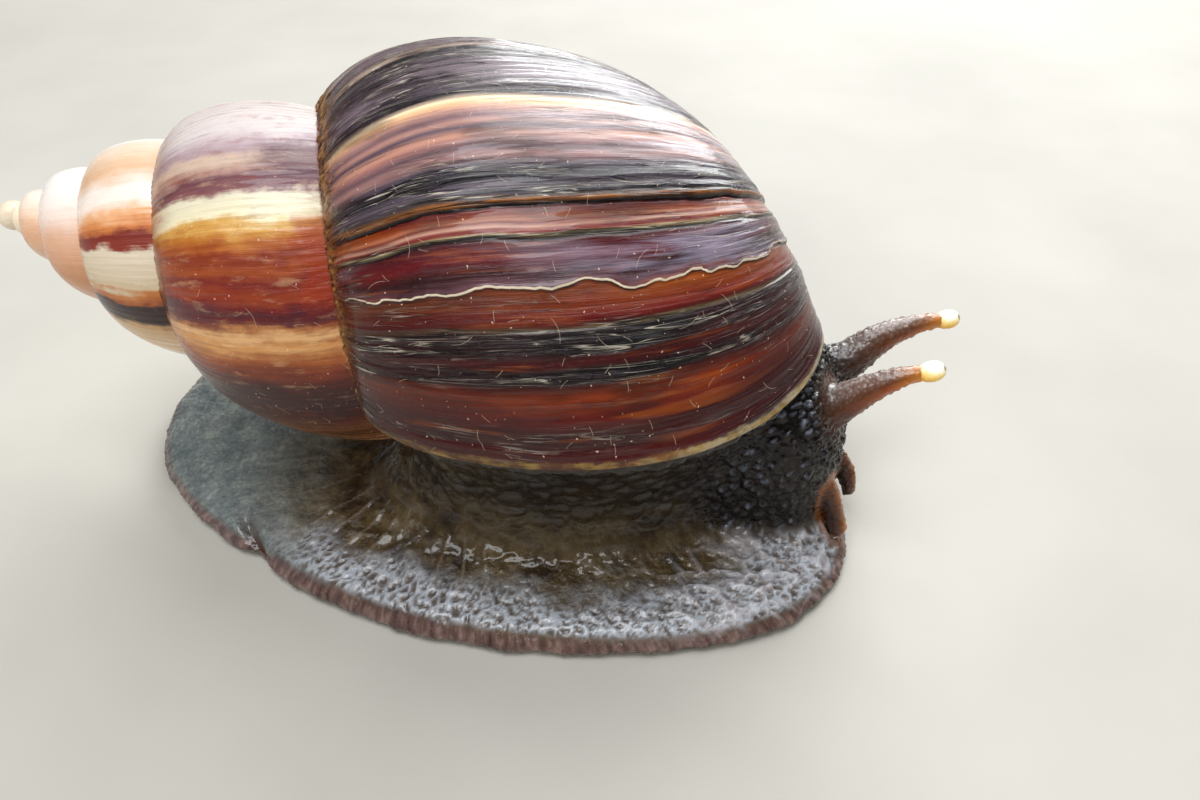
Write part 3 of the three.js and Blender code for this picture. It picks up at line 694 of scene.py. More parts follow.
    # Ridges of the skin: painted shade makes the troughs black and a painted highlight makes the crests pale.
    thread = m.noise(m.stretched(arc, across, 6.0, 0.11, 1.0), 1.0, 4.0, 0.65)
    crest = m.add(m.times(stria, 0.4), m.times(thread, 0.6))
    strong = m.math("MULTIPLY_ADD", rough, 0.75, 0.15)
    colour = m.mix(m.times(m.span(crest, 0.46, 0.36), m.times(strong, late)), colour, rgb("060304"))
    painted_crest_highlight = m.mix(m.noise(m.stretched(arc, across, 0.4, 0.08, 2.0), 1.0), rgb("8a8288"), rgb("ccbc98"))
    broken = m.span(m.noise(m.stretched(arc, across, 1.1, 0.2, 15.0), 1.0, 3.0, 0.6), 0.42, 0.60)
    colour = m.mix(m.times(m.times(m.span(crest, 0.62, 0.72), broken), m.times(strong, m.times(late, 0.24))), colour, painted_crest_highlight)
    # Thin wandering cracks: dark lines, with a painted highlight as a pale line along their upper edge.
    cracks, edges = None, None
    for across_step, along_step, shift, breadth in ((0.9, 0.040, 21.0, 0.016), (2.0, 0.08, 22.0, 0.022), (0.45, 0.02, 23.0, 0.008)):
        level = m.noise(m.stretched(arc, across, across_step, along_step, shift), 1.0, 2.5, 0.45)
        dark = m.span(m.math("ABSOLUTE", m.add(level, -0.5)), breadth * 0.4, breadth, 1.0, 0.0)
        pale = m.span(m.math("ABSOLUTE", m.add(level, -0.5 - breadth * 1.5)), breadth * 0.2, breadth * 0.7, 1.0, 0.0)
        cracks = dark if cracks is None else m.math("MAXIMUM", cracks, dark)
        edges = pale if edges is None else m.math("MAXIMUM", edges, pale)
    crazed = m.span(m.add(m.times(rough, 0.5), m.noise(m.stretched(arc, across, 0.25, 0.08, 24.0), 1.0, 3.0)), 0.60, 0.90)
    crazed = m.times(crazed, late)
    colour = m.mix(m.times(cracks, m.times(crazed, 0.85)), colour, rgb("070304"))
    # Painted highlight along the upper edge of each crack.
    colour = m.mix(m.times(m.times(edges, broken), m.times(crazed, 0.6)), colour, rgb("ccc2b0"))
    # The torn edge of the film: a pale line below the wine band. Tan crust lies along the crack.
    torn = m.times(m.add(bands, -PEEL), 166.0)
    torn_line = m.times(m.span(m.math("ABSOLUTE", m.add(torn, 0.05)), 0.05, 0.13, 1.0, 0.0), m.span(before, 2.0, 6.0))
    colour = m.mix(m.times(torn_line, 0.9), colour, rgb("d8cab0"))
    # Thin pale scratches and flecks.
    for scale, long, thin, least, amount, shift in ((0.28, 1.1, 0.024, 0.84, 0.35, 1.0), (0.6, 0.5, 0.022, 0.78, 0.35, 5.0),
                                                    (0.7, 0.09, 0.050, 0.90, 0.7, 9.0), (1.3, 0.045, 0.030, 0.90, 0.6, 4.0)):
        spread = m.vector(arc, across, shift)
        cell = m.node("TexVoronoi", feature="F1", voronoi_dimensions="2D")
        m.put(cell.inputs["Vector"], spread)
        cell.inputs["Scale"].default_value = scale
        offset = m.node("VectorMath", operation="SUBTRACT")
        m.put(offset.inputs[0], spread)
        m.put(offset.inputs[1], cell.outputs["Position"])
        spin = m.node("VectorRotate", rotation_type="Z_AXIS")
        m.put(spin.inputs["Vector"], offset.outputs[0])
        chance = m.node("SeparateColor")
        m.put(chance.inputs[0], cell.outputs["Color"])
        m.put(spin.inputs["Angle"], m.times(chance.outputs[0], 6.28))
        local = m.node("SeparateXYZ")
        m.put(local.inputs[0], spin.outputs[0])
        curved = m.math("MULTIPLY_ADD", m.times(local.outputs["X"], local.outputs["X"]), 0.25, local.outputs["Y"])
        mark = m.times(m.span(m.math("ABSOLUTE", curved), thin * 0.6, thin, 1.0, 0.0),
                       m.span(m.math("ABSOLUTE", local.outputs["X"]), long * 0.7, long, 1.0, 0.0))
        mark = m.times(mark, m.math("GREATER_THAN", chance.outputs[1], least))
        colour = m.mix(m.times(mark, m.times(m.span(line, 5.6, 6.0, 0.25, 1.0), amount)), colour, rgb("e2d2b4"))
    # Dirt and wear at the seams between whorls, and painted shade beside them.
    crumbs = m.noise(m.stretched(arc, across, 1.6, 0.9), 1.0, 4.0, 0.65)
    seam_wave = m.times(m.add(crumbs, -0.5), 1.5)
    under = m.times(m.span(m.add(before, m.times(seam_wave, 5.5)), 1.3, 3.2, 1.0, 0.0), m.span(line, 5.9, 6.7, 0.0, 0.9))
    # Painted shade: darker brown within a few millimetres of the seam, from growth line 5.9 on.
    shade = m.times(m.span(m.add(before, m.times(seam_wave, 2.0)), 1.0, 6.5, 1.0, 0.0), m.span(line, 5.9, 6.5, 0.0, 0.5))
    colour = m.mix(shade, colour, rgb("3a1a10"))
    dirt = m.mix(m.span(crumbs, 0.40, 0.54), rgb("2a170b"), rgb("8a5c2c"))
    dirt = m.mix(m.times(m.span(crumbs, 0.56, 0.62), 0.9), dirt, rgb("ccaa6c"))
    colour = m.mix(under, colour, dirt)
    seam = m.math("MINIMUM", m.add(before, m.times(seam_wave, 0.25)), m.add(after, m.times(seam_wave, 0.25)))
    colour = m.mix(m.times(m.span(seam, 0.05, 0.30, 1.0, 0.0), m.span(line, 3.0, 5.0, 0.5, 0.75)), colour,
                   rgb("5a2c12"))
    # The mouth's edge and its inside.
    ragged = m.times(m.add(m.noise(m.stretched(arc, across, 0.6, 0.35, 3.0), 1.0, 4.0, 0.65), -0.5), 1.6)
    lip = m.span(m.add(m.times(m.add(line, -7.0), 166.0), ragged), -0.85, -0.55)
    gold = m.mix(m.span(m.noise(m.stretched(arc, across, 1.6, 0.5), 1.0, 3.0), 0.35, 0.65), rgb("543a12"), rgb("866a34"))
    forward = m.span(ahead, 12.0, 27.0)
    bare = m.noise(m.stretched(arc, across, 0.5, 0.32, 31.0), 1.0, 4.0, 0.6)
    kept = m.span(m.add(bare, m.times(forward, 0.22)), 0.42, 0.60, 0.25, 1.0)
    gold = m.mix(m.times(forward, 0.6), gold, m.mix(m.span(bare, 0.4, 0.6), rgb("94742c"), rgb("ccc2a4")))
    colour = m.mix(m.times(m.times(lip, kept), 0.92), colour, gold)
    colour = m.mix(m.span(inside, 0.4, 0.9), colour, rgb("6a6468"))
    gloss = m.noise(m.stretched(arc, across, 0.5, 0.2, 4.0), 1.0, 4.0, 0.6)
    roughness = m.add(m.span(gloss, 0.3, 0.7, 0.13, 0.27), m.times(rough, 0.08))
    roughness = m.add(roughness, m.times(under, 0.35))
    fine = m.noise(m.stretched(arc, across, 3.6, 0.14, 6.0), 1.0, 5.0, 0.7)
    normal = m.bump(fine, 0.6, 0.00020)
    sharp = m.add(m.times(m.times(edges, broken), 0.5), m.times(cracks, -1.0))
    normal = m.bump(m.times(sharp, crazed), 1.0, 0.00012, normal)
    pits = m.noise(m.stretched(arc, across, 1.8, 1.8, 8.0), 1.0, 4.0, 0.65)
    normal = m.bump(pits, 0.25, 0.00012, normal)
    return m.finish(colour, roughness, normal, Coat_Weight=0.3, Coat_Roughness=0.06, IOR=1.36)


# ---- Flesh form ----
FOOT_FRONT_LENGTH, FOOT_REAR_LENGTH, FOOT_HALF_WIDTH = 37.7, 37.1, 21.2
FOOT_FRONT_SQUARENESS, FOOT_REAR_SQUARENESS = (3.2, 3), (2.2, 2.4)
FOOT_BEND, FOOT_BEND_X, FOOT_BEND_SOFTNESS = 15, -17.5, 10
FOOT_RIM_HEIGHT, FOOT_DOME, FOOT_CENTRE_Y = 2.3, 2.6, 3
TRUNK_TOP_Z = 27
TRUNK_FOOT_HALF, TRUNK_WAIST_HALF, TRUNK_TOP_HALF = (24, 14), (14.5, 8), (18.5, 11)
TRUNK_FOOT_CENTRE, TRUNK_TOP_CENTRE = (9.5, 1), (12, -4.8)
HEAD_YAW = math.radians(-14)
NECK_START = np.array((17, 2, 0.0))
HEAD_LENGTH, HEAD_HALF_WIDTH = 20.2, 8.2
HEAD_TOP_Z, HEAD_FRONT_TOP_Z, HEAD_BOTTOM_Z = 20.4, 17.2, 2.3
UPPER_FEELER = (3.0, 0.7, 1.2)
LOWER_FEELER = (1.4, 0.8, 1.0)
EYE_RADIUS = 0.95
EYE_HALF_LENGTH = 1.25
UPPER_LEFT = ((32.5, 3, 12.6), (37.1, 4, 14.8), (40.3, 4.8, 17), (43.9, 5.5, 18.2), (46.8, 6, 18.4))
UPPER_RIGHT = ((29.8, -4, 13), (34.2, -4.6, 16.2), (37.2, -4.9, 18.6), (39.6, -5.1, 20), (41.7, -5.3, 20.7))
LOWER_LEFT = ((34, -1, 7), (36.5, -1.8, 6.6), (37.6, -2.7, 4.9), (37.9, -3, 3.1))
LOWER_RIGHT = ((32.2, -6.2, 10), (34.2, -7.1, 7.8), (35.3, -7.8, 5.2), (35.8, -8.3, 3.2))


def foot_edge(angle):
    along, across = np.cos(angle), np.sin(angle)
    front = along > 0
    p = np.where(front, FOOT_FRONT_SQUARENESS[0], FOOT_REAR_SQUARENESS[0])
    q = np.where(front, FOOT_FRONT_SQUARENESS[1], FOOT_REAR_SQUARENESS[1])
    length = np.where(front, FOOT_FRONT_LENGTH, FOOT_REAR_LENGTH)
    x = length * np.sign(along) * np.abs(along) ** (2 / p)
    middle = -1 + FOOT_BEND / (1 + np.exp((x - FOOT_BEND_X) / FOOT_BEND_SOFTNESS))
    return x, middle + FOOT_HALF_WIDTH * np.sign(across) * np.abs(across) ** (2 / q)


def foot_rings():
    rows = [(0.5, 0), (0.94, 0), (0.975, 0.06), (0.993, 0.35), (1, 0.95), (0.99, 1.6), (0.965, 2.1)]
    rows += [(k, FOOT_RIM_HEIGHT + FOOT_DOME * (1 - k) ** 0.8) for k in (0.93, 0.86, 0.74, 0.62, 0.5, 0.4, 0.15)]
    angle = np.linspace(0, TAU, 160, endpoint=False)
    x, y = foot_edge(angle)
    return [np.stack([x * k, FOOT_CENTRE_Y + (y - FOOT_CENTRE_Y) * k, np.full(len(x), z)], axis=1)
            for k, z in rows]


def trunk_rings():
    rings = []
    for k in np.linspace(0, 1, 14):
        z = 2.5 + (TRUNK_TOP_Z - 2.5) * k ** 1.3
        if z > 25:
            break
        flare = (1 - k) ** 3
        opening = float(smooth(k, 0.3, 0.85))
        half = [TRUNK_WAIST_HALF[n] + (TRUNK_FOOT_HALF[n] - TRUNK_WAIST_HALF[n]) * flare
                + (TRUNK_TOP_HALF[n] - TRUNK_WAIST_HALF[n]) * opening for n in (0, 1)]
        centre = [TRUNK_FOOT_CENTRE[n] + (TRUNK_TOP_CENTRE[n] - TRUNK_FOOT_CENTRE[n]) * k for n in (0, 1)]
        a = np.linspace(0, TAU, 64, endpoint=False)
        rings.append(np.stack([centre[0] + half[0] * np.cos(a), centre[1] + half[1] * np.sin(a),
                               np.full(64, z)], axis=1))
    return rings


def head_rings():
    rings = []
    turn = np.array(((math.cos(HEAD_YAW), -math.sin(HEAD_YAW), 0), (math.sin(HEAD_YAW), math.cos(HEAD_YAW), 0),
                     (0, 0, 1)))
    for i in range(19):
        k = math.sin(i / 18 * math.pi / 2)
        roundness = math.sqrt(max(1 - max((k - 0.7) / 0.302, 0) ** 3, 0.02))
        chin = math.sqrt(max(1 - max((k - 0.86) / 0.142, 0) ** 3, 0.02))
        top = HEAD_TOP_Z + (HEAD_FRONT_TOP_Z - HEAD_TOP_Z) * float(smooth(k, 0.75, 1))
        middle = (HEAD_BOTTOM_Z + top) / 2
        wide = HEAD_HALF_WIDTH * (1.08 - 0.08 * k) * roundness
        a = np.linspace(0, TAU, 60, endpoint=False)
        c, s = np.cos(a), np.sin(a)
        bulge = np.where(s < 0, 0.5, 0.85)
        high = (top - HEAD_BOTTOM_Z) / 2 * np.where(s < 0, chin, roundness)
        local = np.stack([np.full(60, k * HEAD_LENGTH), wide * np.sign(c) * np.abs(c) ** bulge,
                          middle + high * np.sign(s) * np.abs(s) ** bulge], axis=1)
        rings.append(local @ turn.T + NECK_START)
    return rings


def curve_through(points, count):
    """Evenly spaced places and directions on a smooth curve through the points."""
    p = np.array(points, dtype=float)
    p = np.vstack([2 * p[0] - p[1], p, 2 * p[-1] - p[-2]])
    out = []
    for i in range(1, len(p) - 2):
        for t in np.linspace(0, 1, 24, endpoint=False):
            out.append(0.5 * (2 * p[i] + (p[i + 1] - p[i - 1]) * t
                              + (2 * p[i - 1] - 5 * p[i] + 4 * p[i + 1] - p[i + 2]) * t * t
                              + (3 * p[i] - p[i - 1] - 3 * p[i + 1] + p[i + 2]) * t ** 3))
    out.append(p[-2])
    out = np.array(out)
    run = np.concatenate([[0], np.cumsum(np.linalg.norm(np.diff(out, axis=0), axis=1))])
    at = np.linspace(0, run[-1], count)
    places = np.stack([np.interp(at, run, out[:, i]) for i in range(3)], axis=1)
    return places, np.gradient(places, axis=0)


def stalk_rings(points, base, tip, taper, count=34, sides=24):
    places, along = curve_through(points, count)
    rings = []
    for i, (place, way) in enumerate(zip(places, along)):
        k = i / (count - 1)
        right = np.cross(way, (0, 0.3, 1))
        right /= np.linalg.norm(right)
        above = np.cross(right, way)
        above /= np.linalg.norm(above)
        radius = tip + (base - tip) * (1 - k) ** taper
        a = np.linspace(0, TAU, sides, endpoint=False)[:, None]
        rings.append(place + radius * (np.cos(a) * right + np.sin(a) * above))
    return rings


def tube_rings(start, end, steps, sides, swell):
    s = np.linspace(0, TAU, sides, endpoint=False)
    return [shell_point(np.full(sides, t), s, np.full(sides, swell)) for t in np.linspace(start, end, steps)]


def body_from(name, rings):
    points, faces = loft(rings)
    return new_object(name, points * MM, faces)


def joined(name, things):
    """One object with the meshes of several, which are removed."""
    work = bmesh.new()
    for thing in things:
        work.from_mesh(thing.data)
        bpy.data.objects.remove(thing)
    mesh = bpy.data.meshes.new(name)
    work.to_mesh(mesh)
    work.free()
    thing = bpy.data.objects.new(name, mesh)
    bpy.context.scene.collection.objects.link(thing)
    return thing


def remeshed(thing, voxel):
    modifier = thing.modifiers.new("voxels", "REMESH")
    modifier.mode = "VOXEL"
    modifier.voxel_size = voxel
    modifier.adaptivity = 0
    return applied(thing)


def cut(thing, cutter):
    modifier = thing.modifiers.new("cut", "BOOLEAN")
    modifier.operation = "DIFFERENCE"
    modifier.solver = "MANIFOLD"
    modifier.object = cutter
    applied(thing)


def edge_measures(points):
    """Millimetres inside the foot's edge, and along it, for points in millimetres."""
    angle = np.linspace(0, TAU, 4001)
    x, y = foot_edge(angle)
    polar = np.unwrap(np.arctan2(y - FOOT_CENTRE_Y, x))
    radius = np.hypot(x, y - FOOT_CENTRE_Y)
    run = np.concatenate([[0], np.cumsum(np.hypot(np.diff(x), np.diff(y)))])
    own = np.mod(np.arctan2(points[:, 1] - FOOT_CENTRE_Y, points[:, 0]) - polar[0], TAU) + polar[0]
    rim = np.interp(own, polar, radius)
    along = np.interp(own, polar, run)
    away = np.hypot(points[:, 0], points[:, 1] - FOOT_CENTRE_Y)
    return rim - away, along, away / rim


def feeler_weight(points, paths):
    """How near points are to any of the feelers, and how far along it, from 0 to 1."""
    nearest = np.full(len(points), 1e9)
    share = np.zeros(len(points))
    for path in paths:
        places, _ = curve_through(path, 60)
        for i, place in enumerate(places):
            d = np.linalg.norm(points - place, axis=1)
            closer = d < nearest
            nearest = np.where(closer, d, nearest)
            share = np.where(closer, i / 59, share)
    return nearest, share


def make_skin():
    cutters = []
    for start, end in ((4.5, 5.0), (5.0, 5.5), (5.5, 6.0), (6.0, 6.5), (6.5, 6.75), (6.75, 7.003)):
        cutters.append(body_from("cutter", tube_rings(start, end, 26, 72, 0.15)))
    parts = [body_from("part", foot_rings()), body_from("part", trunk_rings()), body_from("part", head_rings())]
    for part in parts:
        for cutter in cutters:
            cut(part, cutter)
    collar = body_from("part", tube_rings(6.885, 7.012, 8, 72, -LIP_THICKNESS - 0.1))
    for cutter in cutters[:4]:
        cut(collar, cutter)
    for cutter in cutters:
        bpy.data.objects.remove(cutter)
    thing = joined("skin", parts + [collar])
    remeshed(thing, (0.6) * MM)
    mesh = thing.data
    points = settled(mesh, points_of(mesh), 5)
    # The stalk of the body spreads into the foot without a step.
    p = points / MM
    round_stalk = np.hypot((p[:, 0] - TRUNK_FOOT_CENTRE[0]) / TRUNK_FOOT_HALF[0],
                           (p[:, 1] - TRUNK_FOOT_CENTRE[1]) / TRUNK_FOOT_HALF[1])
    spread = (1 - smooth(round_stalk, 1.15, 1.5)) * smooth(p[:, 2], 1.6, 3.0) * (1 - smooth(p[:, 2], 9, 13))
    points = settled(mesh, points, 60, spread)
    put_points(mesh, points)
    feelers = [body_from("part", stalk_rings(UPPER_LEFT, *UPPER_FEELER)),
               body_from("part", stalk_rings(UPPER_RIGHT, *UPPER_FEELER)),
               body_from("part", stalk_rings(LOWER_LEFT, *LOWER_FEELER)),
               body_from("part", stalk_rings(LOWER_RIGHT, *LOWER_FEELER))]
    thing = joined("skin", [thing] + feelers)
    remeshed(thing, (0.24) * MM)
    mesh = thing.data
    points = settled(mesh, points_of(mesh), 3)
    put_points(mesh, points)
    p = points / MM
    n = normals_of(mesh)

    inset, along, reach = edge_measures(p)
    head_way = np.array((math.cos(HEAD_YAW), math.sin(HEAD_YAW)))
    forward = (p[:, :2] - NECK_START[:2]) @ head_way
    sideways = (p[:, 0] - NECK_START[0]) * -head_way[1] + (p[:, 1] - NECK_START[1]) * head_way[0]
    head_zone = smooth(forward, -9, -4) * (1 - smooth(np.abs(sideways), 8.6, 11)) * smooth(p[:, 2], 3.4, 5.5)
    nearest, share = feeler_weight(p, (UPPER_LEFT, UPPER_RIGHT))
    feeler = (1 - smooth(nearest, 2.4, 4.2)) * smooth(share, 0.10, 0.60)
    base_zone = (1 - smooth(share, 0.12, 0.4)) * (1 - smooth(nearest, 3.4, 5.2))
    put_points(mesh, settled(mesh, points_of(mesh), 18, base_zone))
    p = points_of(mesh) / MM
    n = normals_of(mesh)
    nearest_low, share_low = feeler_weight(p, (LOWER_LEFT, LOWER_RIGHT))
    lobe = 1 - smooth(nearest_low, 1.2, 2.2)
    height = p[:, 2]
    top_side = smooth(n[:, 2], -0.2, 0.4)
    foot_zone = (1 - smooth(height, 4.5, 7.5)) * (1 - head_zone)
    tail = 1 - smooth(p[:, 0], -26, -12)

    # Knobs of the head and neck, in rows that run down and back.
    frame_axes = np.stack([(0.85 * forward + 0.53 * height) / 1.35, sideways / 1.0,
                           (0.85 * height - 0.53 * forward) / 0.8], axis=1)
    bend = 0.9 * (layered(p[:, 0] / 3, p[:, 1] / 3, p[:, 2] / 3, 31, 3) - 0.5)
    near, far = cells(frame_axes + bend[:, None], 3)
    near_small, far_small = cells(frame_axes * 2.1 - bend[:, None], 4)
    knobs = 0.72 * np.clip((far - near) * 1.3, 0, 1) ** 0.7 + 0.28 * np.clip((far_small - near_small) * 1.6, 0, 1) ** 0.7
    near2, far2 = cells(p / 0.5, 5)
    pebbles = np.clip((far2 - near2) * 1.5, 0, 1) ** 0.7
    relief = head_zone * (1 - feeler) * (1 - lobe) * (0.70 * (knobs - 0.6))
    relief += feeler * (1 - smooth(share, 0.6, 0.9)) * 0.05 * (pebbles - 0.6)
    relief += lobe * 0.05 * (pebbles - 0.6)
    # Wrinkles of the foot: a net inside the rim, and long folds that run inwards.
    body_zone = foot_zone * top_side
    rim = 1 - smooth(inset, 0.7, 1.8)
    reach_in = 3.2 + 2.6 * smooth(p[:, 0], 5, 30)
    patch = 3.5 * (layered(p[:, 0] / 3, p[:, 1] / 3, 0, 45, 2) - 0.5)
    net_zone = (1 - smooth(inset + patch, reach_in, reach_in + 4.0)) * smooth(inset, 0.8, 1.6) * body_zone
    net_zone = net_zone * (1 - 0.8 * tail)
    sway = 0.8 * (layered(p[:, 0] / 2.2, p[:, 1] / 2.2, 0, 47, 2) - 0.5)
    net_near, net_far = cells(np.stack([along / 0.8 + sway, inset / 0.95 + sway, height * 0], axis=1), 7)
    ridge = np.exp(-((net_far - net_near) / 0.20) ** 2)
    slanted = np.stack([(along + 0.6 * inset) / 4.2 + sway, (inset - 0.3 * along) / 3.4 + sway, height * 0], axis=1)
    wide_near, wide_far = cells(slanted, 8)
    wide_ridge = np.exp(-((wide_far - wide_near) / 0.09) ** 2)
    front = smooth(p[:, 0], 12, 26)
    relief += net_zone * 0.17 * ridge
    relief += body_zone * smooth(inset, 1.2, 3) * (1 - smooth(inset, 9, 13)) * (0.05 + 0.30 * front) * (1 - tail) * wide_ridge
    lumps = layered(p[:, 0] / 1.9, p[:, 1] / 1.3, height / 2, 17) - 0.5
    relief += body_zone * smooth(inset, 3, 8) * (0.50 - 0.35 * tail) * lumps
    # Long pale creases run inwards from the rim, a few millimetres apart.
    lane = along / 3.3 + 0.5 * (layered(inset / 6, along / 9, 0, 61, 2) - 0.5)
    crease = np.abs(lane - np.round(lane)) * 3.3
    kept = hashed(np.round(lane).astype(np.int64), np.zeros(len(p), dtype=np.int64), np.zeros(len(p), dtype=np.int64), 3)
    crease_zone = body_zone * (1 - smooth(height, 3.6, 5.0)) * smooth(inset, 2.5, 4.5) * (1 - smooth(inset, 9 + 6 * kept, 12 + 6 * kept)) * (1 - tail) * (kept > 0.25)
    relief += crease_zone * 0.14 * np.exp(-(crease / 0.16) ** 2)
    beads_near, beads_far = cells(np.stack([along / 0.62, height / 0.7, inset / 0.7], axis=1), 19)
    relief += rim * smooth(height, 0.1, 0.5) * 0.16 * (np.clip((beads_far - beads_near) * 1.5, 0, 1) - 0.5)
    relief += foot_zone * (1 - smooth(inset, 0.5, 4)) * 0.6 * (layered(along / 4, 0, 0, 23, 2) - 0.5) * smooth(height, 0.0, 0.6)
    relief += tail * body_zone * smooth(inset, 0.5, 2) * 0.16 * (layered(along / 0.9, inset / 5, 0, 63, 2) - 0.5)
    fine = layered(p[:, 0] / 0.7, p[:, 1] / 0.7, p[:, 2] / 0.7, 27) - 0.5
    relief += 0.10 * fine * (1 - feeler) * (1 - lobe)
    wall = (1 - foot_zone) * (1 - head_zone) * (1 - feeler) * (1 - lobe)
    folds_near, folds_far = cells(np.stack([p[:, 0] / 3.0 + 3 * sway, p[:, 1] / 3.0 - 3 * sway, height / 1.5 + 2 * sway], axis=1), 12)
    relief += wall * 0.36 * (np.clip((folds_far - folds_near) * 1.4, 0, 1) ** 0.6 - 0.6)
    sole = 1 - smooth(height, 0.05, 0.35)
    relief *= 1 - sole
    # Where the body lies against or inside the last whorl it stays smooth.
    gap, under_line = beside_shell(p)
    relief *= np.where(under_line < 7.004, smooth(gap, 0.0, 0.8), 1.0)
    # A fold at the near edge of the tail.
    notch = np.exp(-((p[:, 0] + 22.4 + 0.35 * (p[:, 1] + 7)) / 0.9) ** 2) * (p[:, 1] < -1) * (1 - smooth(inset, 1.2, 4.5)) * (1 - sole)
    relief -= 0.9 * notch
    p = p + n * relief[:, None]
    p[:, 2] = np.maximum(p[:, 2], 0.0)
    put_points(mesh, p * MM)
    smooth_faces(mesh)
    # Painted highlight: bead sides that face lit_way get a blue-white glint in the colour.
    lit_way = np.array((-0.3, -0.5, 0.8))
    painted_glint = smooth(normals_of(mesh) @ (lit_way / np.linalg.norm(lit_way)), 0.76, 0.95) * smooth(knobs, 0.35, 0.7)
    net_share = np.clip(net_zone, 0, 1)
    cavity = head_zone * (1 - feeler) * knobs + feeler * pebbles + net_share * ridge * (1 - head_zone)
    cavity += (1 - np.clip(head_zone + net_share + feeler, 0, 1)) * np.clip(0.5 + 1.5 * lumps, 0, 1)
    upward = n[:, 2]
    for name, values in (("inset", inset), ("along", along), ("head", head_zone), ("feeler", feeler),
                         ("share", share), ("lobe", lobe), ("raised", cavity), ("tail", tail),
                         ("foot", foot_zone), ("net", net_zone), ("notch", notch), ("upward", upward),
                         ("thread", crease_zone * np.exp(-(crease / 0.15) ** 2)),
                         ("ahead", n[:, 0]), ("painted_glint", painted_glint * head_zone * (1 - feeler) * (1 - lobe)),
                         ("wide", body_zone * front * (1 - smooth(inset, 9, 13)) * wide_ridge)):
        set_attribute(mesh, name, values)
    return thing


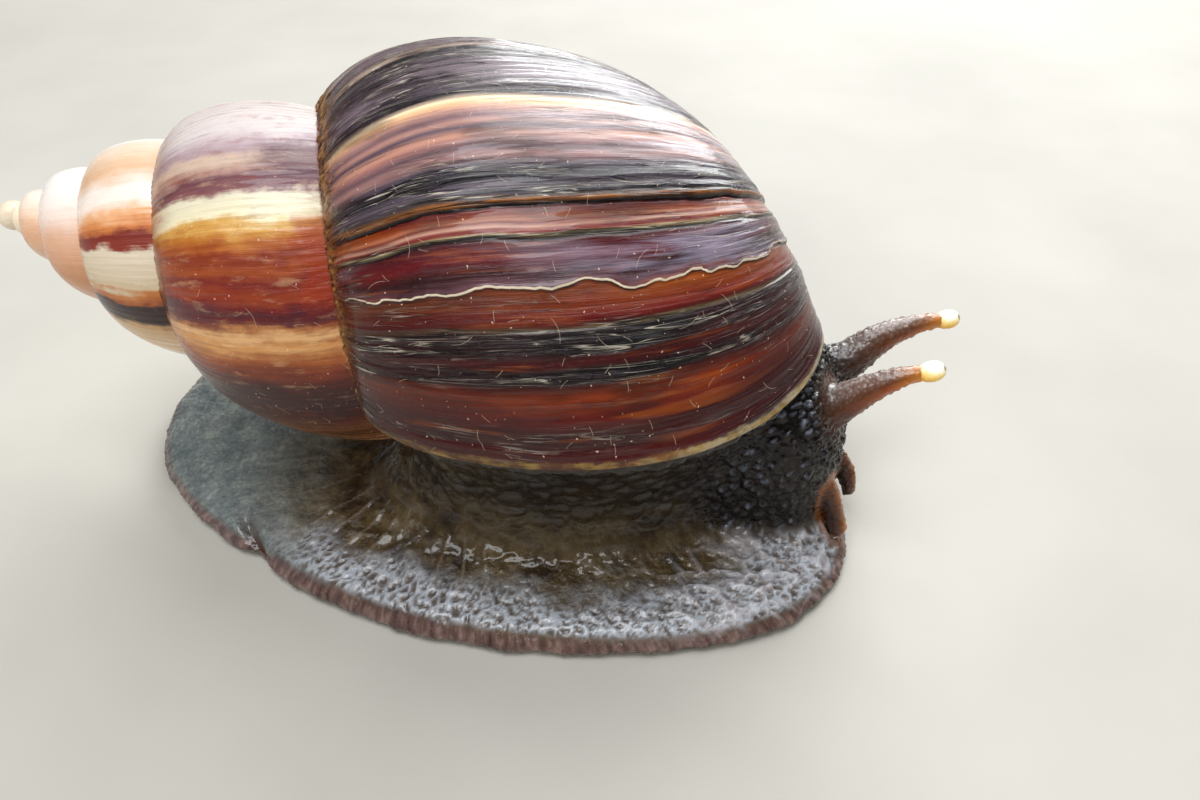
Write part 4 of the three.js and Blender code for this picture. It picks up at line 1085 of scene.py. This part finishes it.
def skin_material():
    m = Shade("foot_skin")
    inset, along, head = m.attribute("inset"), m.attribute("along"), m.attribute("head")
    feeler, share, lobe = m.attribute("feeler"), m.attribute("share"), m.attribute("lobe")
    raised, tail, foot = m.attribute("raised"), m.attribute("tail"), m.attribute("foot")
    net, upward, thread, notch = m.attribute("net"), m.attribute("upward"), m.attribute("thread"), m.attribute("notch")
    wide, ahead = m.attribute("wide"), m.attribute("ahead")
    coordinates = m.node("TexCoord").outputs["Object"]
    parts = m.node("SeparateXYZ")
    m.put(parts.inputs[0], coordinates)
    height = m.times(parts.outputs["Z"], 1000.0)
    broad = m.noise(coordinates, 120.0, 3.0)
    medium = m.noise(coordinates, 420.0, 4.0, 0.6)
    grain = m.noise(coordinates, 2400.0, 4.0, 0.65)
    inner = m.ramp(m.add(m.times(broad, 0.5), m.times(medium, 0.5)), [
        (0.30, "120d08"), (0.42, "2a2014"), (0.50, "40331f"), (0.58, "52442c"), (0.70, "281f13")])
    inner = m.mix(m.span(raised, 0.65, 1.0, 0.0, 0.35), inner, rgb("7c7266"))
    lengthways = m.times(parts.outputs["X"], 1000.0)
    # Painted shade: the stalk under the shell turns near black with height, more towards the front.
    painted_shade_under_shell = m.times(m.span(height, 3.0, 10.5, 0.0, 0.85), m.span(m.add(lengthways, m.times(m.add(broad, -0.5), 20.0)), -12.0, 8.0, 0.45, 1.0))
    inner = m.mix(painted_shade_under_shell, inner, rgb("110c09"))
    streaky = m.noise(m.stretched(lengthways, height, 0.25, 1.4, 3.0), 1.0, 4.0, 0.6)
    inner = m.mix(m.times(m.span(streaky, 0.50, 0.68), m.span(lengthways, -24.0, -6.0, 0.55, 0.10)), inner, rgb("7c8080"))
    # The net's ridges are paler than its pits in their own tone, and the bluish white at the top of the ramp is a
    # painted highlight.
    net_colour = m.ramp(m.add(m.times(raised, 0.6), m.times(medium, 0.4)), [
        (0.12, "342c26"), (0.26, "544c48"), (0.50, "767678"), (0.85, "a4aab2")])
    tail_colour = m.ramp(m.add(m.times(medium, 0.5), m.times(grain, 0.5)), [
        (0.30, "3a4347"), (0.5, "616a6a"), (0.7, "8b938d")])
    colour = m.mix(m.times(net, 0.92), inner, net_colour)
    colour = m.mix(m.times(thread, 0.4), colour, rgb("86796a"))
    # The wide ridges at the front of the foot are coloured pale, partly as a painted highlight.
    colour = m.mix(m.times(wide, 0.6), colour, rgb("a8a4a8"))
    colour = m.mix(m.times(tail, 0.85), colour, tail_colour)
    edge = m.times(m.span(m.add(inset, m.times(m.add(medium, -0.5), 0.8)), 0.5, 1.5, 1.0, 0.0), foot)
    rim_colour = m.ramp(m.noise(m.stretched(along, height, 1.4, 0.5), 1.0, 3.0), [
        (0.3, "33211f"), (0.5, "5a4340"), (0.7, "846c64")])
    rim_colour = m.mix(m.span(height, 0.15, 0.6, 0.75, 0.0), rim_colour, rgb("160e0e"))
    colour = m.mix(m.times(edge, 0.85), colour, rim_colour)
    colour = m.mix(m.times(notch, 0.8), colour, rgb("3a2216"))
    head_colour = m.ramp(raised, [(0.0, "020101"), (0.35, "070505"), (0.6, "120e0d"), (0.9, "262424")])
    brown = m.ramp(medium, [(0.3, "0c0706"), (0.55, "1f120d"), (0.75, "3a2415")])
    colour = m.mix(head, colour, m.mix(0.3, head_colour, brown))
    # Painted highlight: blue-white glints on the head's beads.
    colour = m.mix(m.times(m.attribute("painted_glint"), 0.42), colour, rgb("98a2b6"))
    bead = m.cells(coordinates, 2700.0)
    # The feelers are orange-brown below and grey above; the paler grey on the upper sides is partly a painted
    # highlight.
    skin_tone = m.ramp(m.add(m.times(bead, -0.20), m.times(m.add(upward, 1.0), 0.5)), [
        (0.10, "6a2408"), (0.40, "5c2810"), (0.62, "4c3020"), (0.78, "604e46"), (0.92, "88827e")])
    warm = m.ramp(share, [(0.15, "1c0f0b"), (0.45, "4c220e"), (0.75, "9c4c14"), (1.0, "d08424")])
    skin_tone = m.mix(m.span(upward, 0.45, -0.25, 0.1, 0.9), skin_tone, warm)
    skin_tone = m.mix(m.span(share, 0.75, 1.0, 0.0, 0.7), skin_tone, warm)
    colour = m.mix(m.times(feeler, 0.95), colour, skin_tone)
    lip_colour = m.ramp(m.add(ahead, m.times(m.add(medium, -0.5), 0.5)), [
        (-0.3, "28150c"), (0.25, "4c2710"), (0.6, "7c4516"), (0.9, "a8682c")], -0.3, 0.9)
    lip_colour = m.mix(m.span(upward, 0.2, 0.8, 0.0, 0.35), lip_colour, rgb("5c5250"))
    colour = m.mix(m.times(lobe, 0.9), colour, lip_colour)
    wetness = m.noise(coordinates, 700.0, 3.0, 0.6)
    roughness = m.add(m.span(wetness, 0.35, 0.65, 0.14, 0.36), m.times(tail, 0.08))
    normal = m.bump(grain, 0.5, 0.00012)
    normal = m.bump(m.noise(coordinates, 1100.0, 3.0, 0.6), 0.7, 0.00034, normal)
    ruffled = m.times(m.noise(coordinates, 720.0, 2.5, 0.5), foot)
    normal = m.bump(ruffled, 0.6, 0.0006, normal)
    grains = m.cells(coordinates, 1500.0)
    normal = m.bump(m.times(m.span(grains, 0.15, 0.75, 1.0, 0.0), m.times(head, m.span(feeler, 0.2, 0.7, 1.0, 0.0))), 0.8,
                    0.00028, normal)
    beaded = m.times(m.times(feeler, m.span(bead, 0.2, 0.7, 1.0, 0.0)), m.span(upward, -0.3, 0.4, 0.2, 1.0))
    normal = m.bump(beaded, 0.4, 0.00010, normal)
    return m.finish(colour, roughness, normal, Coat_Weight=0.45, Coat_Roughness=0.08, IOR=1.28)


def eye_material():
    m = Shade("eye_tip")
    spot = m.attribute("spot")
    crown = m.attribute("crown")
    coordinates = m.node("TexCoord").outputs["Object"]
    speckle = m.noise(coordinates, 2600.0, 3.0)
    # The bulbs are yellow below; the white towards the top is a painted highlight.
    colour = m.ramp(m.add(crown, m.times(m.add(speckle, -0.5), 0.35)), [
        (0.0, "b8781c"), (0.35, "e2ac34"), (0.62, "f2d88c"), (0.85, "faf4e8")])
    colour = m.mix(m.times(spot, 0.75), colour, rgb("2c201c"))
    normal = m.bump(speckle, 0.3, 0.00008)
    return m.finish(colour, m.span(speckle, 0.3, 0.7, 0.18, 0.35), normal, Coat_Weight=0.5, IOR=1.4)


def make_eye(name, path, spot_way):
    end, before = np.array(path[-1], dtype=float), np.array(path[-2], dtype=float)
    out = (end - before) / np.linalg.norm(end - before)
    centre = end + out * (EYE_RADIUS * 1.55 - EYE_HALF_LENGTH)
    right = np.cross(out, (0, 0.3, 1))
    right /= np.linalg.norm(right)
    above = np.cross(right, out)
    rows, sides = 33, 48
    v = np.linspace(0, math.pi, rows)[1:-1]
    w = np.linspace(0, TAU, sides, endpoint=False)
    vv, ww = np.meshgrid(v, w, indexing="ij")
    way = (np.cos(vv)[..., None] * out + np.sin(vv)[..., None]
           * (np.cos(ww)[..., None] * right + np.sin(ww)[..., None] * above))
    bumps = 1 + 0.05 * (layered(way[..., 0] * 4, way[..., 1] * 4, way[..., 2] * 4, 71) - 0.5)
    lengths = EYE_RADIUS + (EYE_HALF_LENGTH - EYE_RADIUS) * np.cos(vv) ** 2
    points = centre + way * (lengths * bumps)[..., None]
    index = np.arange(points.shape[0] * sides).reshape(-1, sides)
    nxt = np.roll(index, -1, axis=1)
    quads = np.stack([index[:-1], nxt[:-1], nxt[1:], index[1:]], axis=2).reshape(-1, 4)
    flat = points.reshape(-1, 3)
    q = quads[len(quads) // 2]
    if np.dot(np.cross(flat[q[1]] - flat[q[0]], flat[q[2]] - flat[q[0]]), flat[q[0]] - centre) < 0:
        quads = quads[:, ::-1]
    thing = fast_object(name, flat * MM, quads)
    mesh = thing.data
    work = bmesh.new()
    work.from_mesh(mesh)
    bmesh.ops.holes_fill(work, edges=[e for e in work.edges if e.is_boundary], sides=0)
    bmesh.ops.triangulate(work, faces=[f for f in work.faces if len(f.verts) > 4])
    work.to_mesh(mesh)
    work.free()
    spot_way = np.array(spot_way, dtype=float)
    spot_way /= np.linalg.norm(spot_way)
    set_attribute(mesh, "spot", smooth((way @ spot_way).reshape(-1), 0.955, 0.985))
    # crown: how far each point faces up, for the painted highlight on top.
    set_attribute(mesh, "crown", (0.5 + 0.5 * way[..., 2]).reshape(-1))
    smooth_faces(mesh)
    mesh.materials.append(eye)
    return thing


shell = make_shell()
shell.data.materials.append(shell_material())
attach(shell, "root")
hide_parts("shell_spire", "shell_penultimate_whorl", "shell_body_whorl")

skin = make_skin()
skin.data.materials.clear()
skin.data.materials.append(skin_material())
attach(skin, "root")
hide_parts("tail", "foot", "trunk", "neck", "head", "mantle_collar", "upper_tentacle_left",
            "upper_tentacle_right", "lower_tentacle_left", "lower_tentacle_right")

eye = eye_material()
for name, path, way in (("eye_tip_left", UPPER_LEFT, (0.9, -0.2, 0.4)), ("eye_tip_right", UPPER_RIGHT, (0.85, -0.2, 0.5))):
    tip = make_eye(name, path, way)
    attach(tip, "root")
    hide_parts(name.replace("_tip", ""))


# ---- Floor, light and camera ----
def floor_material():
    m = Shade("floor_pale")
    coordinates = m.node("TexCoord").outputs["Object"]
    tone = m.noise(coordinates, 30.0, 3.0)
    colour = m.ramp(tone, [(0.3, "a3a098"), (0.7, "aca9a1")])
    return m.finish(colour, 0.75, m.bump(m.noise(coordinates, 900.0, 3.0), 0.1, 0.0002))


floor = new_object("floor", [(-3, -3, 0), (3, -3, 0), (3, 3, 0), (-3, 3, 0)], [(0, 1, 2, 3)], floor_material())

world = bpy.data.worlds.new("sky")
bpy.context.scene.world = world
world.use_nodes = True
world.node_tree.nodes["Background"].inputs["Color"].default_value = (0.93, 0.96, 1.0, 1)
world.node_tree.nodes["Background"].inputs["Strength"].default_value = 0.12
bpy.context.scene.view_settings.view_transform = "Standard"


def area_light(name, place, target, width, height, power, colour):
    data = bpy.data.lights.new(name, "AREA")
    data.shape = "RECTANGLE"
    data.size, data.size_y = width, height
    data.energy = power
    data.color = colour
    lamp = bpy.data.objects.new(name, data)
    lamp.location = place
    lamp.rotation_euler = (Vector(target) - Vector(place)).to_track_quat("-Z", "Y").to_euler()
    bpy.context.scene.collection.objects.link(lamp)
    return lamp


area_light("sky_light", (0.13, 0.30, 0.56), (0, 0, 0.02), 0.50, 0.36, 2.8, (1.0, 1.0, 1.0))
area_light("back_light", (0.24, 0.62, 0.30), (0, 0, 0.03), 0.60, 0.30, 6.0, (0.97, 0.99, 1.0))
area_light("top_light", (-0.06, -0.12, 0.60), (0, 0, 0.02), 0.32, 0.32, 3.2, (0.96, 0.98, 1.0))
front = area_light("front_light", (-0.20, -0.52, 0.26), (0, 0, 0.02), 0.4, 0.4, 2.4, (1.0, 0.98, 0.95))
front.visible_glossy = False

camera_data = bpy.data.cameras.new("camera")
camera_data.lens = 28.5
camera_data.sensor_width = 36
camera_data.clip_start = 0.001
camera_data.clip_end = 10
camera = bpy.data.objects.new("camera", camera_data)
camera.location = (0.0125, -0.0715, 0.073)
camera.rotation_euler = (math.radians(50), 0, 0)
bpy.context.scene.collection.objects.link(camera)
bpy.context.scene.camera = camera
